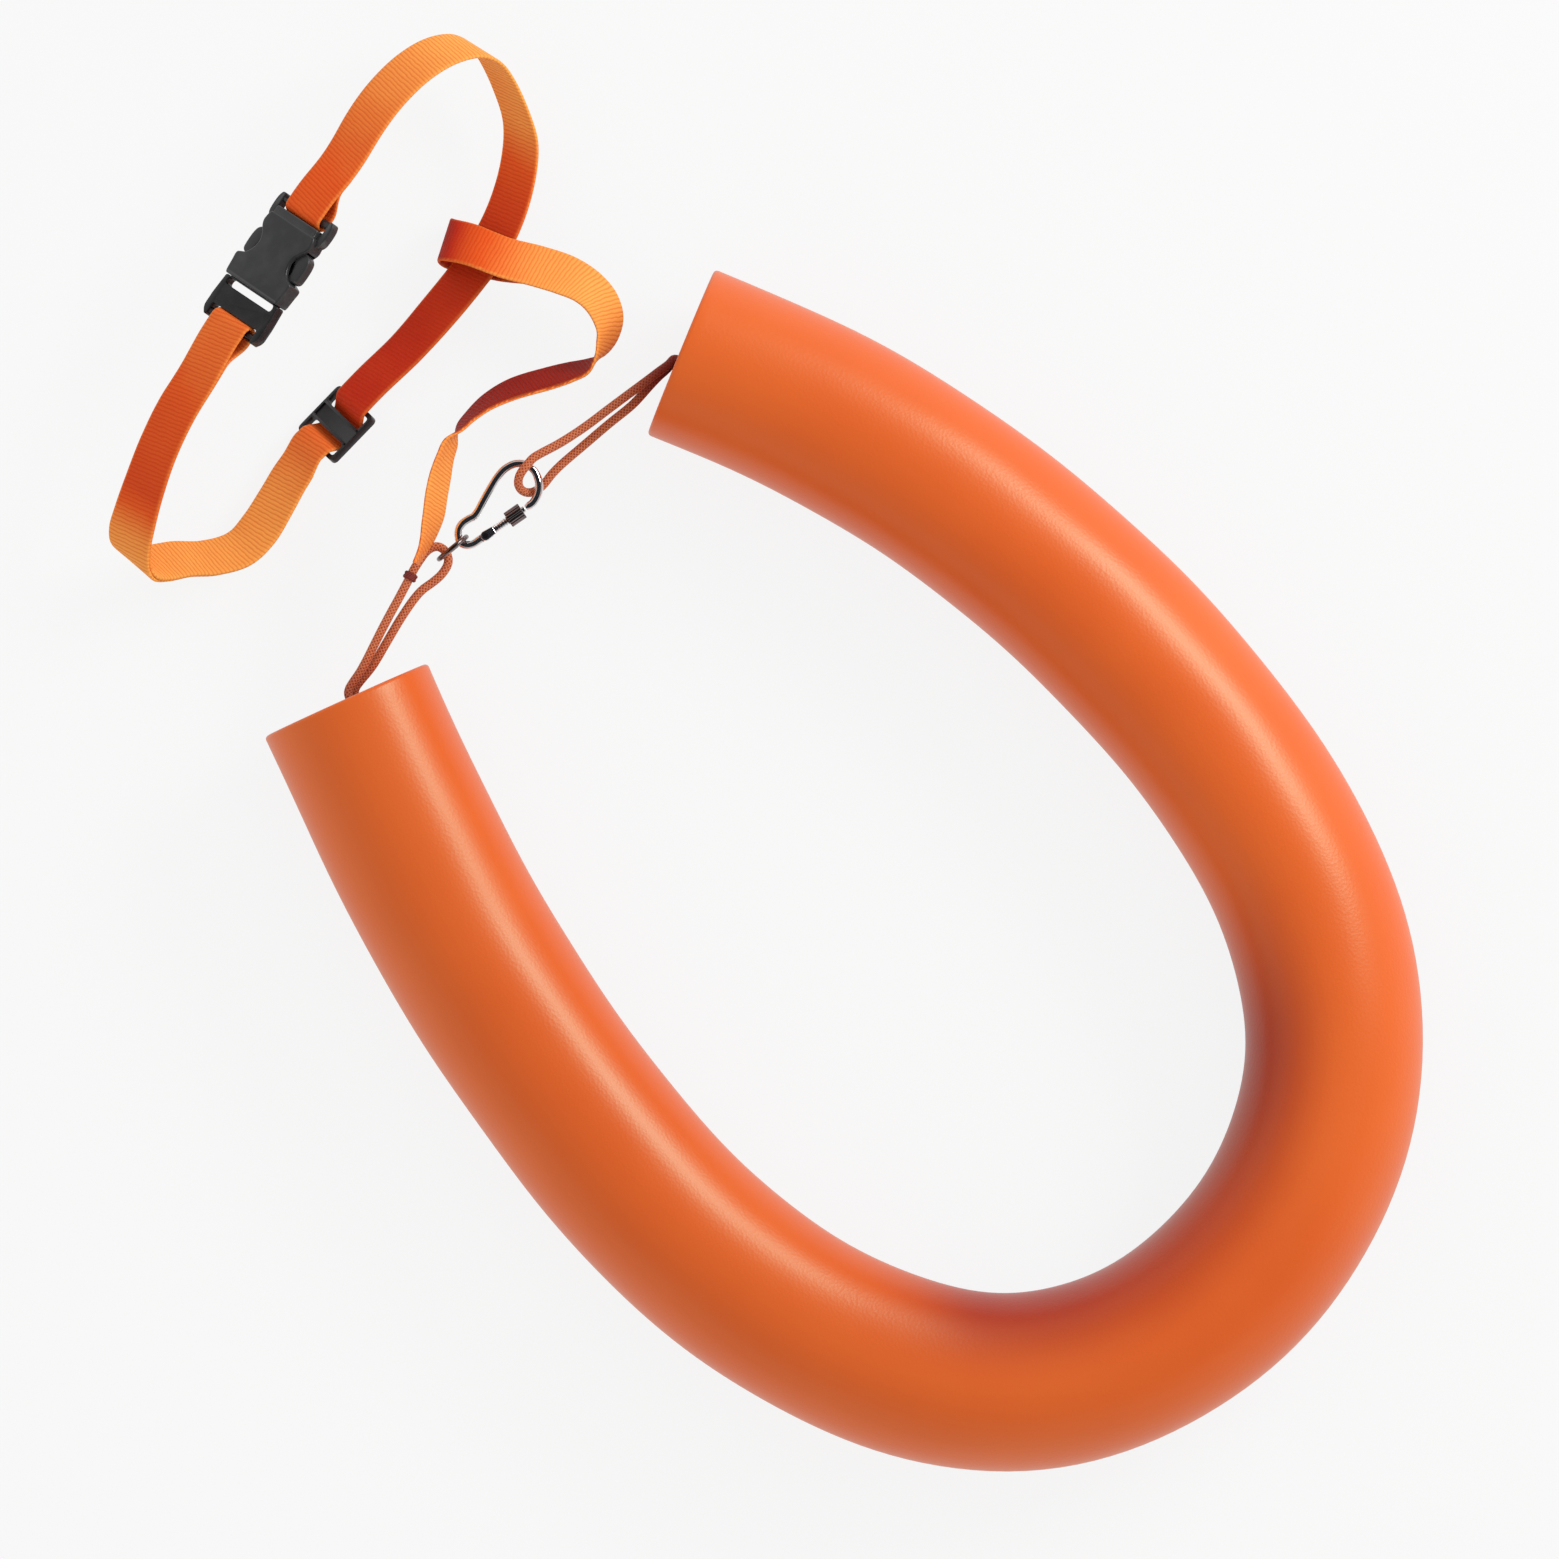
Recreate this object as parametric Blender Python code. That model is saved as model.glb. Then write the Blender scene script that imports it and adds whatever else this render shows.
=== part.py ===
# Swim belt: a foam tube held in a U by a cord, a snap hook, a tether and a waist belt.
# Metres, +Z up. It lies on z = 0, with the origin under the middle of its bounding box.
# Its layout was read from a picture taken from straight above, so routes are picture places
# in pixels, and the length of the tube sets how large a pixel is.

import math

import bmesh
import bpy
import numpy as np
from mathutils import Matrix, Vector

# Foam tube
tube_length = 0.986
tube_diameter = 0.070
bore_diameter = 0.018
rest_cut = 0.0005
bore_sides = 12
tube_sides = bore_sides * 2
tube_stations = 46

# Layout in the picture: x to the right, y downwards
tube_route_pixels = (
    (681, 352), (805, 406), (964, 502), (1107, 623), (1229, 764), (1316, 929), (1334, 1052), (1306, 1173),
    (1191, 1318), (1018, 1382), (838, 1339), (685, 1232), (563, 1090), (461, 934), (403, 823), (346, 700),
)
picture_turn_degrees = 44.8

# Shared clearances
touch_gap = 0.00033
run_gap = 0.0005
strap_gap = 0.0005
cut_overrun = 0.002
smooth_degrees = 40.0

# Cord, one endless loop that runs twice through the bore
cord_diameter = 0.0035
cord_spacing = 0.0085
cord_turn_degrees = 16.0
cord_resolution = 2
cord_lead_share = 0.9
cord_step_share = 0.3
bore_cord_points = 58
snap_end_inset = 0.0046
plain_end_inset = 0.0029
strand_spread = 0.0024
strand_rise = 0.0022
cord_sleeve_diameter = 0.0058
cord_sleeve_bore = 0.0048
cord_sleeve_length = 0.009
cord_sleeve_place_share = 0.5
round_sides = 16

# Webbing of the belt and the tether
webbing_width = 0.020
webbing_thickness = 0.0015
layer_gap = 0.0007
webbing_step = 0.0015
station_turn_degrees = 8.0
station_gap = 0.016
strap_smooth_degrees = 50.0
belt_rise = 0.050
tether_rise = 0.0345
spread_length = 0.011
sewn_length = 0.024
slider_strap_length = 0.044
plug_strap_length = 0.060
bar_turn_steps = 7
weave_shares = ((1.0, 0.94), (0.55, 0.62), (0.0, 0.0), (-0.55, -0.62), (-1.0, -0.94))
tail_stop = 0.024

# Side release buckle, placed by the middle of the plug's outer end
buckle_pixel = (231, 331)
buckle_direction_degrees = -56.0
buckle_tilt_degrees = 38.0
buckle_length = 0.057
buckle_width = 0.033
frame_thickness = 0.0042
end_bar_diameter = 0.0035
end_bar_inset = 0.0020
end_bar_sides = 12
end_bar_root_share = 0.6
strap_slot_reach = 0.0080
slot_side_wall = 0.0037
plug_mouth = 0.0181
plug_mouth_gap = 0.0006
peek_slot_start = 0.0132
peek_slot_length = 0.0032
peek_slot_side_wall = 0.0048
socket_thickness = 0.0095
socket_wall = 0.0019
socket_end_lip = 0.0008
socket_cavity_width_share = 0.818
socket_cavity_depth_share = 0.844
socket_frame_length = 0.013
socket_frame_shares = ((0.0, 0.80), (0.254, 0.98), (0.746, 1.0), (0.873, 0.96), (1.0, 0.86))
plug_shares = ((0.0, 0.86), (0.094, 0.96), (0.189, 1.0), (0.528, 1.0), (0.754, 0.94), (1.0, 0.90))
guide_width = 0.0052
guide_reach_share = 0.714
guide_tip_share = 0.4
prong_hinge_place_share = 0.0465
prong_hinge_side_share = 0.5576
prong_root_gap = 0.0009
prong_reach_share = 0.681
prong_bulge_share = 0.4727
waist_shares = (
    (0.0, 0.93), (0.05, 0.955), (0.2, 0.98), (0.296, 1.0), (0.325, 0.96), (0.34, 0.79), (0.40, 0.70),
    (0.47, 0.63), (0.55, 0.59), (0.63, 0.605), (0.71, 0.70), (0.78, 0.82), (0.85, 0.86), (0.95, 0.82),
    (1.0, 0.76),
)
prong_shares = (
    (0.0, 0.20), (0.25, 0.25), (0.43, 0.45), (0.465, 0.74), (0.50, 0.78), (0.60, 0.73), (0.74, 0.57),
    (0.88, 0.32), (0.97, 0.10), (1.0, -0.06), (0.955, -0.11), (0.85, 0.02), (0.72, 0.17), (0.58, 0.27),
    (0.47, 0.22), (0.34, 0.02), (0.0, -0.20),
)
buckle_bevel = 0.0008
bevel_degrees = 50.0

# Tri-glide slider
slider_pixel = (332, 420)
slider_direction_degrees = 134.0
slider_tilt_degrees = 43.0
slider_length = 0.024
slider_width = 0.0264
slider_thickness = 0.003
slider_end_bar = 0.0036
slider_middle_bar = 0.0052
slider_corner = 0.0012
slider_slot_gap = 0.0008
slider_bevel = 0.0005

# Snap hook, from the nose of its small end (u) across towards the gate (v)
snap_nose_pixel = (460, 542)
snap_length = 0.0403
snap_wire_diameter = 0.0034
snap_wire_sides = 10
snap_wire_step = 0.0022
snap_tip_straight = 0.0014
snap_swing_place = 0.0032
gate_hinge_share = (0.218, 0.134)
gate_length = 0.0186
gate_turn_degrees = 10.5
gate_diameter = 0.0036
gate_core_share = 0.9
gate_rod_sides = 12
gate_rod_root_share = 0.7
gate_fork_width = 0.0040
gate_fork_length = 0.0042
gate_fork_height = 0.0046
fork_corner_share = 0.8
gate_eye_thickness = 0.0018
gate_eye_reach_share = 0.30
gate_tip_gap = 0.0006
gate_pin_diameter = 0.0012
gate_pin_head_diameter = 0.0022
gate_pin_head_thickness = 0.0004
pin_clearance = 0.0004
thread_depth = 0.0003
thread_pitch = 0.0012
thread_crest_shares = (0.2, 0.5)
thread_root_share = 0.75
thread_end_share = 0.4
thread_start = 0.0050
nut_diameter = 0.0066
nut_length = 0.0068
nut_place = 0.0141
nut_flutes = 18
nut_flute_depth = 0.00025
spring_turns = 5
spring_points_per_turn = 8
spring_wire_diameter = 0.0004
spring_wire_sides = 6
spring_bore_overrun = 0.0005
spring_diameter = 0.0014
spring_length = 0.0056

# Link ring between the snap and the plain cord loop
ring_inner_diameter = 0.0118
ring_wire_diameter = 0.0020
ring_direction_degrees = -39.4
ring_steps = 24
ring_wire_sides = 8

# Band that holds the tether on the cord
band_length = 0.004
band_wall = 0.0007
band_row = 8

# Colours
foam_orange = (0.86, 0.22, 0.02, 1.0)
webbing_orange = (0.85, 0.20, 0.02, 1.0)
cord_orange = (0.72, 0.16, 0.03, 1.0)
band_red = (0.33, 0.03, 0.02, 1.0)
buckle_black = (0.028, 0.029, 0.031, 1.0)
steel_bright = (0.70, 0.70, 0.72, 1.0)
steel_dark = (0.30, 0.29, 0.30, 1.0)

tube_radius = tube_diameter / 2
cord_radius = cord_diameter / 2
layer_pitch = webbing_thickness + layer_gap
bar_lift = end_bar_diameter / 2 + strap_gap + webbing_thickness / 2
cord_height = tube_radius - rest_cut


def clear_scene():
    for old in list(bpy.data.objects):
        bpy.data.objects.remove(old, do_unlink=True)


def polyline_length(points):
    return float(np.linalg.norm(np.diff(points, axis=0), axis=1).sum())


def even_spline(points, count):
    """Evenly spaced places on the natural cubic spline through the points."""
    points = np.array(points, float)
    knots = np.concatenate([[0], np.cumsum(np.linalg.norm(np.diff(points, axis=0), axis=1))])
    gaps = np.diff(knots)
    size = len(points)
    system = np.eye(size)
    target = np.zeros_like(points)
    for i in range(1, size - 1):
        system[i, i - 1] = gaps[i - 1]
        system[i, i] = 2 * (gaps[i - 1] + gaps[i])
        system[i, i + 1] = gaps[i]
        target[i] = 6 * ((points[i + 1] - points[i]) / gaps[i] - (points[i] - points[i - 1]) / gaps[i - 1])
    bends = np.linalg.solve(system, target)
    dense = np.linspace(0, knots[-1], count * 20)
    span = np.clip(np.searchsorted(knots, dense, side="right") - 1, 0, size - 2)
    width = gaps[span][:, None]
    right = (dense - knots[span])[:, None]
    left = width - right
    curve = (
        (bends[span] * left**3 + bends[span + 1] * right**3) / (6 * width)
        + (points[span] / width - bends[span] * width / 6) * left
        + (points[span + 1] / width - bends[span + 1] * width / 6) * right
    )
    walked = np.concatenate([[0], np.cumsum(np.linalg.norm(np.diff(curve, axis=0), axis=1))])
    wanted = np.linspace(0, walked[-1], count)
    return np.stack([np.interp(wanted, walked, column) for column in curve.T], axis=1)


def smooth_rows(rows, step):
    """Rows of place and other values, filled in on a centripetal curve about every step."""
    rows = np.array(rows, float)
    padded = np.vstack([2 * rows[0] - rows[1], rows, 2 * rows[-1] - rows[-2]])
    filled = []
    for i in range(len(rows) - 1):
        p0, p1, p2, p3 = padded[i : i + 4]
        t0 = 0
        t1 = t0 + np.linalg.norm(p1[:3] - p0[:3]) ** 0.5
        t2 = t1 + np.linalg.norm(p2[:3] - p1[:3]) ** 0.5
        t3 = t2 + np.linalg.norm(p3[:3] - p2[:3]) ** 0.5
        pieces = max(1, math.ceil(np.linalg.norm(p2[:3] - p1[:3]) / step))
        for k in range(pieces):
            t = t1 + (t2 - t1) * k / pieces
            a1 = (t1 - t) / (t1 - t0) * p0 + (t - t0) / (t1 - t0) * p1
            a2 = (t2 - t) / (t2 - t1) * p1 + (t - t1) / (t2 - t1) * p2
            a3 = (t3 - t) / (t3 - t2) * p2 + (t - t2) / (t3 - t2) * p3
            b1 = (t2 - t) / (t2 - t0) * a1 + (t - t0) / (t2 - t0) * a2
            b2 = (t3 - t) / (t3 - t1) * a2 + (t - t1) / (t3 - t1) * a3
            filled.append((t2 - t) / (t2 - t1) * b1 + (t - t1) / (t2 - t1) * b2)
    filled.append(rows[-1])
    return np.array(filled)


tube_pixels = even_spline(tube_route_pixels, tube_stations)
pixel_size = tube_length / polyline_length(tube_pixels)
layout_centre = (np.array(tube_route_pixels[0]) + np.array(tube_route_pixels[-1])) / 2
picture_cos = math.cos(math.radians(picture_turn_degrees))
picture_sin = math.sin(math.radians(picture_turn_degrees))


def place(px, py, height=0.0):
    """A place of the picture, in metres: +Y runs from the tube's open ends to its bend."""
    right = px - layout_centre[0]
    down = py - layout_centre[1]
    across = (-right * picture_sin + down * picture_cos) * pixel_size
    along = (right * picture_cos + down * picture_sin) * pixel_size
    return Vector((across, along, height))


def heading(degrees, tilt_degrees=0.0):
    """A direction of the picture, clockwise from its right, tilted up out of the picture."""
    angle = math.radians(degrees)
    tilt = math.radians(tilt_degrees)
    across = -math.cos(angle) * picture_sin + math.sin(angle) * picture_cos
    along = math.cos(angle) * picture_cos + math.sin(angle) * picture_sin
    return Vector((across * math.cos(tilt), along * math.cos(tilt), math.sin(tilt)))


def frame_matrix(origin, x_axis, y_axis):
    """A frame from its origin, its X axis and a direction near its Y axis."""
    x_axis = x_axis.normalized()
    z_axis = x_axis.cross(y_axis).normalized()
    y_axis = z_axis.cross(x_axis)
    turn = Matrix((x_axis, y_axis, z_axis)).transposed()
    return Matrix.Translation(origin) @ turn.to_4x4()


def finish_material(name, colour, roughness, metallic):
    material = bpy.data.materials.new(name)
    material.use_nodes = True
    shader = material.node_tree.nodes["Principled BSDF"]
    shader.inputs["Base Color"].default_value = colour
    shader.inputs["Roughness"].default_value = roughness
    shader.inputs["Metallic"].default_value = metallic
    return material


def add_mesh(name, points, faces, matrix=None, smooth_angle=smooth_degrees):
    """A mesh object whose faces are turned outwards."""
    mesh = bpy.data.meshes.new(name)
    mesh.from_pydata([tuple(point) for point in points], [], faces)
    shape = bmesh.new()
    shape.from_mesh(mesh)
    bmesh.ops.recalc_face_normals(shape, faces=shape.faces)
    shape.to_mesh(mesh)
    shape.free()
    if smooth_angle:
        mesh.shade_smooth()
        mesh.set_sharp_from_angle(angle=math.radians(smooth_angle))
    made = bpy.data.objects.new(name, mesh)
    bpy.context.scene.collection.objects.link(made)
    if matrix is not None:
        made.matrix_world = matrix
    return made


def give(made, material):
    made.data.materials.append(material)
    return made


def loft(name, sections, closed=False, matrix=None, smooth_angle=smooth_degrees, ways=None):
    """One solid through a run of outlines; ways tells how the sides of a strap's runs are split."""
    size = len(sections[0])
    points = [point for section in sections for point in section]
    runs = len(sections) if closed else len(sections) - 1
    faces = []
    for i in range(runs):
        here = i * size
        after = (i + 1) % len(sections) * size
        for k in range(size):
            following = (k + 1) % size
            corners = (here + k, here + following, after + following, after + k)
            if ways:
                turn = int((k < size / 2) == (ways[i] < 0))
                corners = corners[turn:] + corners[:turn]
                faces.append((corners[0], corners[1], corners[2]))
                faces.append((corners[2], corners[3], corners[0]))
            else:
                faces.append(corners)
    if not closed:
        faces.append(tuple(range(size)))
        faces.append(tuple(range(len(points) - size, len(points))))
    return add_mesh(name, points, faces, matrix, smooth_angle)


def prism(name, outline, low, high, matrix=None):
    """An outline in X and Y, extruded along Z."""
    sections = [[(x, y, z) for x, y in outline] for z in (low, high)]
    return loft(name, sections, matrix=matrix, smooth_angle=0.0)


def ring_points(radius, sides):
    turn = 2 * math.pi / sides
    return [(radius * math.cos(turn * k), radius * math.sin(turn * k)) for k in range(sides)]


def hollow_prism(name, outer, inner, low, high, matrix=None):
    """A sleeve between two outlines of the same number of points, extruded along Z."""
    rings = []
    for outline, z in ((outer, low), (outer, high), (inner, high), (inner, low)):
        rings.append([(x, y, z) for x, y in outline])
    return loft(name, rings, closed=True, matrix=matrix)


def turned(name, profile, sides, matrix=None):
    """A solid turned about X from a profile of (x, radius)."""
    sections = [[(x, y, z) for y, z in ring_points(radius, sides)] for x, radius in profile]
    return loft(name, sections, matrix=matrix)


def swept_tube(name, points, radius, sides, closed=False, matrix=None):
    """A round tube along a run of places, its sides carried on without twist."""
    points = [Vector(point) for point in points]
    count = len(points)
    side = None
    sections = []
    for i, point in enumerate(points):
        before = points[i - 1] if closed else points[max(i - 1, 0)]
        after = points[(i + 1) % count] if closed else points[min(i + 1, count - 1)]
        forward = (after - before).normalized()
        if side is None:
            helper = Vector((0, 0, 1)) if abs(forward.z) < 0.8 else Vector((1, 0, 0))
            side = forward.cross(helper)
        side = (side - forward * side.dot(forward)).normalized()
        up = forward.cross(side)
        sections.append([point + side * x + up * y for x, y in ring_points(radius, sides)])
    return loft(name, sections, closed=closed, matrix=matrix)


def change(target, tool, operation):
    """A live Boolean with a tool that isn't part of the object."""
    tool.hide_render = True
    tool.display_type = "WIRE"
    modifier = target.modifiers.new(tool.name, "BOOLEAN")
    modifier.operation = operation
    modifier.solver = "EXACT"
    modifier.object = tool


def cut_box(target, name, x_range, y_range, z_range, matrix):
    x_low, x_high = x_range
    y_low, y_high = y_range
    corners = [(x_low, y_low), (x_high, y_low), (x_high, y_high), (x_low, y_high)]
    change(target, prism(name, corners, z_range[0], z_range[1], matrix), "DIFFERENCE")


def soften(target, width):
    modifier = target.modifiers.new("softened edges", "BEVEL")
    modifier.width = width
    modifier.segments = 1
    modifier.limit_method = "ANGLE"
    modifier.angle_limit = math.radians(bevel_degrees)


# Foam tube

def tube_frames():
    """Along the tube: place, the sideways direction that points into the U, and forward."""
    points = [place(px, py, cord_height) for px, py in tube_pixels]
    middle = sum(points, Vector()) / len(points)
    frames = []
    for i, point in enumerate(points):
        forward = (points[min(i + 1, len(points) - 1)] - points[max(i - 1, 0)]).normalized()
        inward = Vector((0, 0, 1)).cross(forward)
        if inward.dot(middle - point) < 0:
            inward = -inward
        frames.append((point, inward, forward))
    return frames


def make_foam_tube(frames, material):
    """The foam tube, cut flat along its underside where it lies on the floor."""
    flat_angle = math.acos(cord_height / tube_radius)
    start = -math.pi / 2 + flat_angle
    sweep = 2 * math.pi - 2 * flat_angle
    angles = [start + sweep * k / (tube_sides - 1) for k in range(tube_sides)]
    points = []
    for radius, directions in ((tube_radius, angles), (bore_diameter / 2, angles[::2])):
        for point, inward, _ in frames:
            for angle in directions:
                up = Vector((0, 0, radius * math.sin(angle)))
                points.append(point + inward * radius * math.cos(angle) + up)
    bore_start = len(frames) * tube_sides
    faces = []
    for first, size in ((0, tube_sides), (bore_start, bore_sides)):
        for i in range(len(frames) - 1):
            here = first + i * size
            for k in range(size):
                following = (k + 1) % size
                faces.append((here + k, here + following, here + size + following, here + size + k))
    for end in (0, len(frames) - 1):
        outside = end * tube_sides
        inside = bore_start + end * bore_sides
        for k in range(bore_sides):
            following = (k + 1) % bore_sides
            rim = (outside + 2 * k, outside + 2 * k + 1, outside + 2 * following)
            faces.append((*rim, inside + following, inside + k))
    return give(add_mesh("foam_tube", points, faces), material)


# Cords

def make_cord(name, points, material):
    """A cord on a straight-segment spline with filled ends."""
    curve = bpy.data.curves.new(name, "CURVE")
    curve.dimensions = "3D"
    curve.bevel_depth = cord_radius
    curve.bevel_resolution = cord_resolution
    curve.use_fill_caps = True
    spline = curve.splines.new("POLY")
    spline.points.add(len(points) - 1)
    for k, point in enumerate(points):
        spline.points[k].co = (*point, 1.0)
    made = bpy.data.objects.new(name, curve)
    bpy.context.scene.collection.objects.link(made)
    return give(made, material)


def strand_place(frames, index, upper):
    """Where a strand crosses the tube's section: the strands lie against the bore's inner side."""
    share = index / (len(frames) - 1)
    inset = snap_end_inset + (plain_end_inset - snap_end_inset) * share
    side = -1 if upper else 1
    point, inward, _ = frames[index]
    return point + inward * (inset + side * strand_spread / 2) + Vector((0, 0, -side * strand_rise))


def make_bore_cords(frames, material):
    """The two strands inside the bore, each as long as the tube."""
    for name, upper in (("bore_cord_upper", True), ("bore_cord_lower", False)):
        places = [strand_place(frames, i, upper) for i in range(len(frames))]
        first_forward = frames[0][2]
        last_forward = frames[-1][2]
        places[0] = places[0] + first_forward * touch_gap
        places[-1] = places[-1] - last_forward * touch_gap
        make_cord(name, even_spline(places, bore_cord_points), material)


def make_cord_sleeve(frames, material):
    """The crimped sleeve inside the bore that joins the two ends of the cord."""
    middle = round((len(frames) - 1) * cord_sleeve_place_share)
    before = strand_place(frames, middle - 1, True)
    after = strand_place(frames, middle + 1, True)
    centre = strand_place(frames, middle, True)
    matrix = frame_matrix(centre, Vector((0, 0, 1)).cross(after - before), Vector((0, 0, 1)))
    sleeve = hollow_prism(
        "cord_sleeve",
        ring_points(cord_sleeve_diameter / 2, round_sides),
        ring_points(cord_sleeve_bore / 2, round_sides),
        -cord_sleeve_length / 2,
        cord_sleeve_length / 2,
        matrix,
    )
    return give(sleeve, material)


def snap_frame():
    """The snap hook's frame: X from its nose to its big end, Y towards the gate, Z up."""
    nose = place(*snap_nose_pixel, cord_height)
    return frame_matrix(nose, Vector((-1, 0, 0)), Vector((0, 1, 0)))


def cord_route(rows):
    """A cord's route from rows of picture place and height above the cord's own level."""
    return [place(px, py, cord_height + rise) for px, py, rise in rows]


snap_cord_out = (
    (668.5, 361.5, 0.0022), (660, 369, 0.0023), (648, 380, 0.0024), (633.3, 390.9, 0.0025),
    (609, 409, 0.0028), (584.8, 427.2, 0.0032), (560.6, 443, 0.0037),
)
snap_cord_back = (
    (559, 466.4, -0.0037), (584.8, 444.2, -0.0032), (609, 423.6, -0.0028), (633, 404, -0.0025),
    (649, 386.5, -0.0023), (657.5, 375.5, -0.0022), (665, 368, -0.0022),
)
snap_cord_bight = (
    (0.0432, -0.0028, 0.0040), (0.0400, -0.0025, 0.0041), (0.0374, -0.0023, 0.0039),
    (0.0346, -0.0016, 0.0030), (0.0322, 0.0002, 0.0015), (0.0314, 0.0024, -0.0002),
    (0.0320, 0.0046, -0.0020), (0.0336, 0.0062, -0.0034), (0.0358, 0.0070, -0.0041),
    (0.0382, 0.0073, -0.0043), (0.0406, 0.0072, -0.0041), (0.0432, 0.0068, -0.0039),
)
plain_cord_route = (
    (349, 689.5, 0.0022), (353, 682.5, 0.0022), (359, 674, 0.0021), (365.2, 663.2, 0.0020),
    (372.9, 647.9, 0.0018), (381.3, 631.1, 0.0016), (389.7, 615, 0.0012), (398.1, 599.7, 0.0008),
    (406.6, 583.7, 0.0003), (414, 569.3, 0.0), (420.2, 559.5, 0.0), (427.5, 550.3, 0.0),
    (437.0, 546.2, 0.0), (445.3, 551.0, 0.0), (448.6, 561.5, 0.0), (442.8, 573, -0.0003),
    (432.4, 582.5, -0.0008), (422.6, 589.5, -0.0011), (414.5, 598.4, -0.0014), (400.4, 618.9, -0.0018),
    (385.9, 643.3, -0.0020), (372.1, 666.3, -0.0021), (361, 680, -0.0022), (356, 686.5, -0.0022),
)


def make_free_cords(frames, material):
    """The loop that the snap hook holds, and the plain loop that the tether is sewn on."""
    to_snap = snap_frame()
    bight = [to_snap @ Vector((along, across, -rise)) for along, across, rise in snap_cord_bight]
    rows = cord_route(snap_cord_out) + bight + cord_route(snap_cord_back)
    make_free_cord("snap_side_cord", frames, 0, rows, material)
    make_free_cord("plain_side_cord", frames, len(frames) - 1, cord_route(plain_cord_route), material)


def make_free_cord(name, frames, index, rows, material):
    """A cord loop from one strand's end at the tube round to the other strand's end."""
    outward = frames[index][2] * (1 if index else -1)
    start = strand_place(frames, index, True)
    end = strand_place(frames, index, False)
    lead = outward * cord_radius * cord_lead_share
    step = cord_radius * cord_step_share
    curve = smooth_rows([tuple(row) for row in [start, start + lead, *rows, end + lead, end]], step)
    least = math.cos(math.radians(cord_turn_degrees))
    kept = [curve[0], curve[0] + np.array(lead)]
    for point, following in zip(curve[1:], curve[2:]):
        gone = np.linalg.norm(point - kept[-1])
        if gone < cord_radius or np.linalg.norm(curve[-1] - point) < lead.length + cord_radius:
            continue
        before = kept[-1] - kept[-2]
        ahead = following - point
        straight = np.linalg.norm(before) * np.linalg.norm(ahead)
        if before.dot(ahead) < least * straight or gone > cord_spacing:
            kept.append(point)
    kept += [curve[-1] + np.array(lead), curve[-1]]
    make_cord(name, kept, material)


# Webbing

def strap_stations(rows, close_ends=0.0):
    """The rows that a strap needs, each with the way forward and a one: more where it turns."""
    rows = smooth_rows(rows, webbing_step)
    walked = walked_lengths(rows)
    forwards = np.gradient(rows[:, :3], axis=0)
    forwards /= np.linalg.norm(forwards, axis=1)[:, None]
    rows = np.hstack([rows, forwards, np.ones((len(rows), 1))])
    least = math.cos(math.radians(station_turn_degrees))
    kept = [0]
    for i in range(1, len(rows) - 1):
        last = rows[kept[-1]]
        following = rows[i + 1]
        turned_far = last[6:9].dot(following[6:9]) < least or last[3:6].dot(following[3:6]) < least
        near_end = min(walked[i], walked[-1] - walked[i]) < close_ends
        if turned_far or near_end or np.linalg.norm(following[:3] - last[:3]) > station_gap:
            kept.append(i)
    kept.append(len(rows) - 1)
    return rows[kept]


def face_direction(row):
    """Square to a strap's face, to the inside of the belt."""
    forward = Vector(row[6:9])
    across = Vector(row[3:6])
    return forward.cross(across).normalized()


def strap_sections(rows):
    """Outlines of a strap, square to its way forward."""
    sections = []
    for row in rows:
        normal = face_direction(row)
        across = normal.cross(Vector(row[6:9])) * webbing_width / 2
        thick = normal * webbing_thickness / 2
        low = Vector(row[:3]) - across
        high = Vector(row[:3]) + across
        sections.append([low + thick, high + thick, high - thick, low - thick])
    return sections


def strap_rows(table, rise):
    """Rows of a strap from a table of picture place, height share, width heading and its tilt."""
    rows = []
    for px, py, height_share, degrees, tilt in table:
        rows.append([*place(px, py, height_share * rise), *heading(degrees, tilt)])
    return rows


def local_rows(matrix, shape_points, across):
    """Rows of a strap from places in X and Z of a carrier's frame."""
    return [[*(matrix @ Vector((x, 0, z))), *across] for x, z in shape_points]


def walked_lengths(rows):
    steps = np.linalg.norm(np.diff(rows[:, :3], axis=0), axis=1)
    return np.concatenate([[0], np.cumsum(steps)])


def strap_slice(rows, walked, start, end):
    """The rows between two lengths along the strap's line, with its two ends filled in."""
    ends = [np.array([np.interp(length, walked, column) for column in rows.T]) for length in (start, end)]
    between = rows[(walked > start + strap_gap) & (walked < end - strap_gap)]
    return np.vstack([ends[0], between, ends[1]])


def spread_share(distance):
    """One beside a buckle's bar, falling to nothing where the two layers lie together."""
    share = (distance - bar_lift) / spread_length
    return (1 + math.cos(math.pi * max(0.0, min(1.0, share)))) / 2


def shifted(rows, shifts):
    """The rows moved square to the strap's face."""
    moved = rows.copy()
    for row, shift_by in zip(moved, shifts):
        row[:3] += np.array(face_direction(row)) * shift_by
    return moved


def make_strap(name, rows, material):
    solid = loft(name, strap_sections(rows), smooth_angle=strap_smooth_degrees, ways=list(rows[:, 9]))
    return give(solid, material)


def bar_turn(row, start_side):
    """Half a turn round a buckle bar, from one side of the strap's line to the other."""
    normal = face_direction(row)
    forward = Vector(row[6:9])
    turn = []
    for step in range(1, bar_turn_steps):
        angle = math.pi * step / bar_turn_steps
        lean = normal * start_side * math.cos(angle) + forward * math.sin(angle)
        ahead = forward * math.cos(angle) - normal * start_side * math.sin(angle)
        turn.append([*(Vector(row[:3]) + lean * bar_lift), *row[3:6], *ahead, row[9]])
    return np.array(turn)


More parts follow.
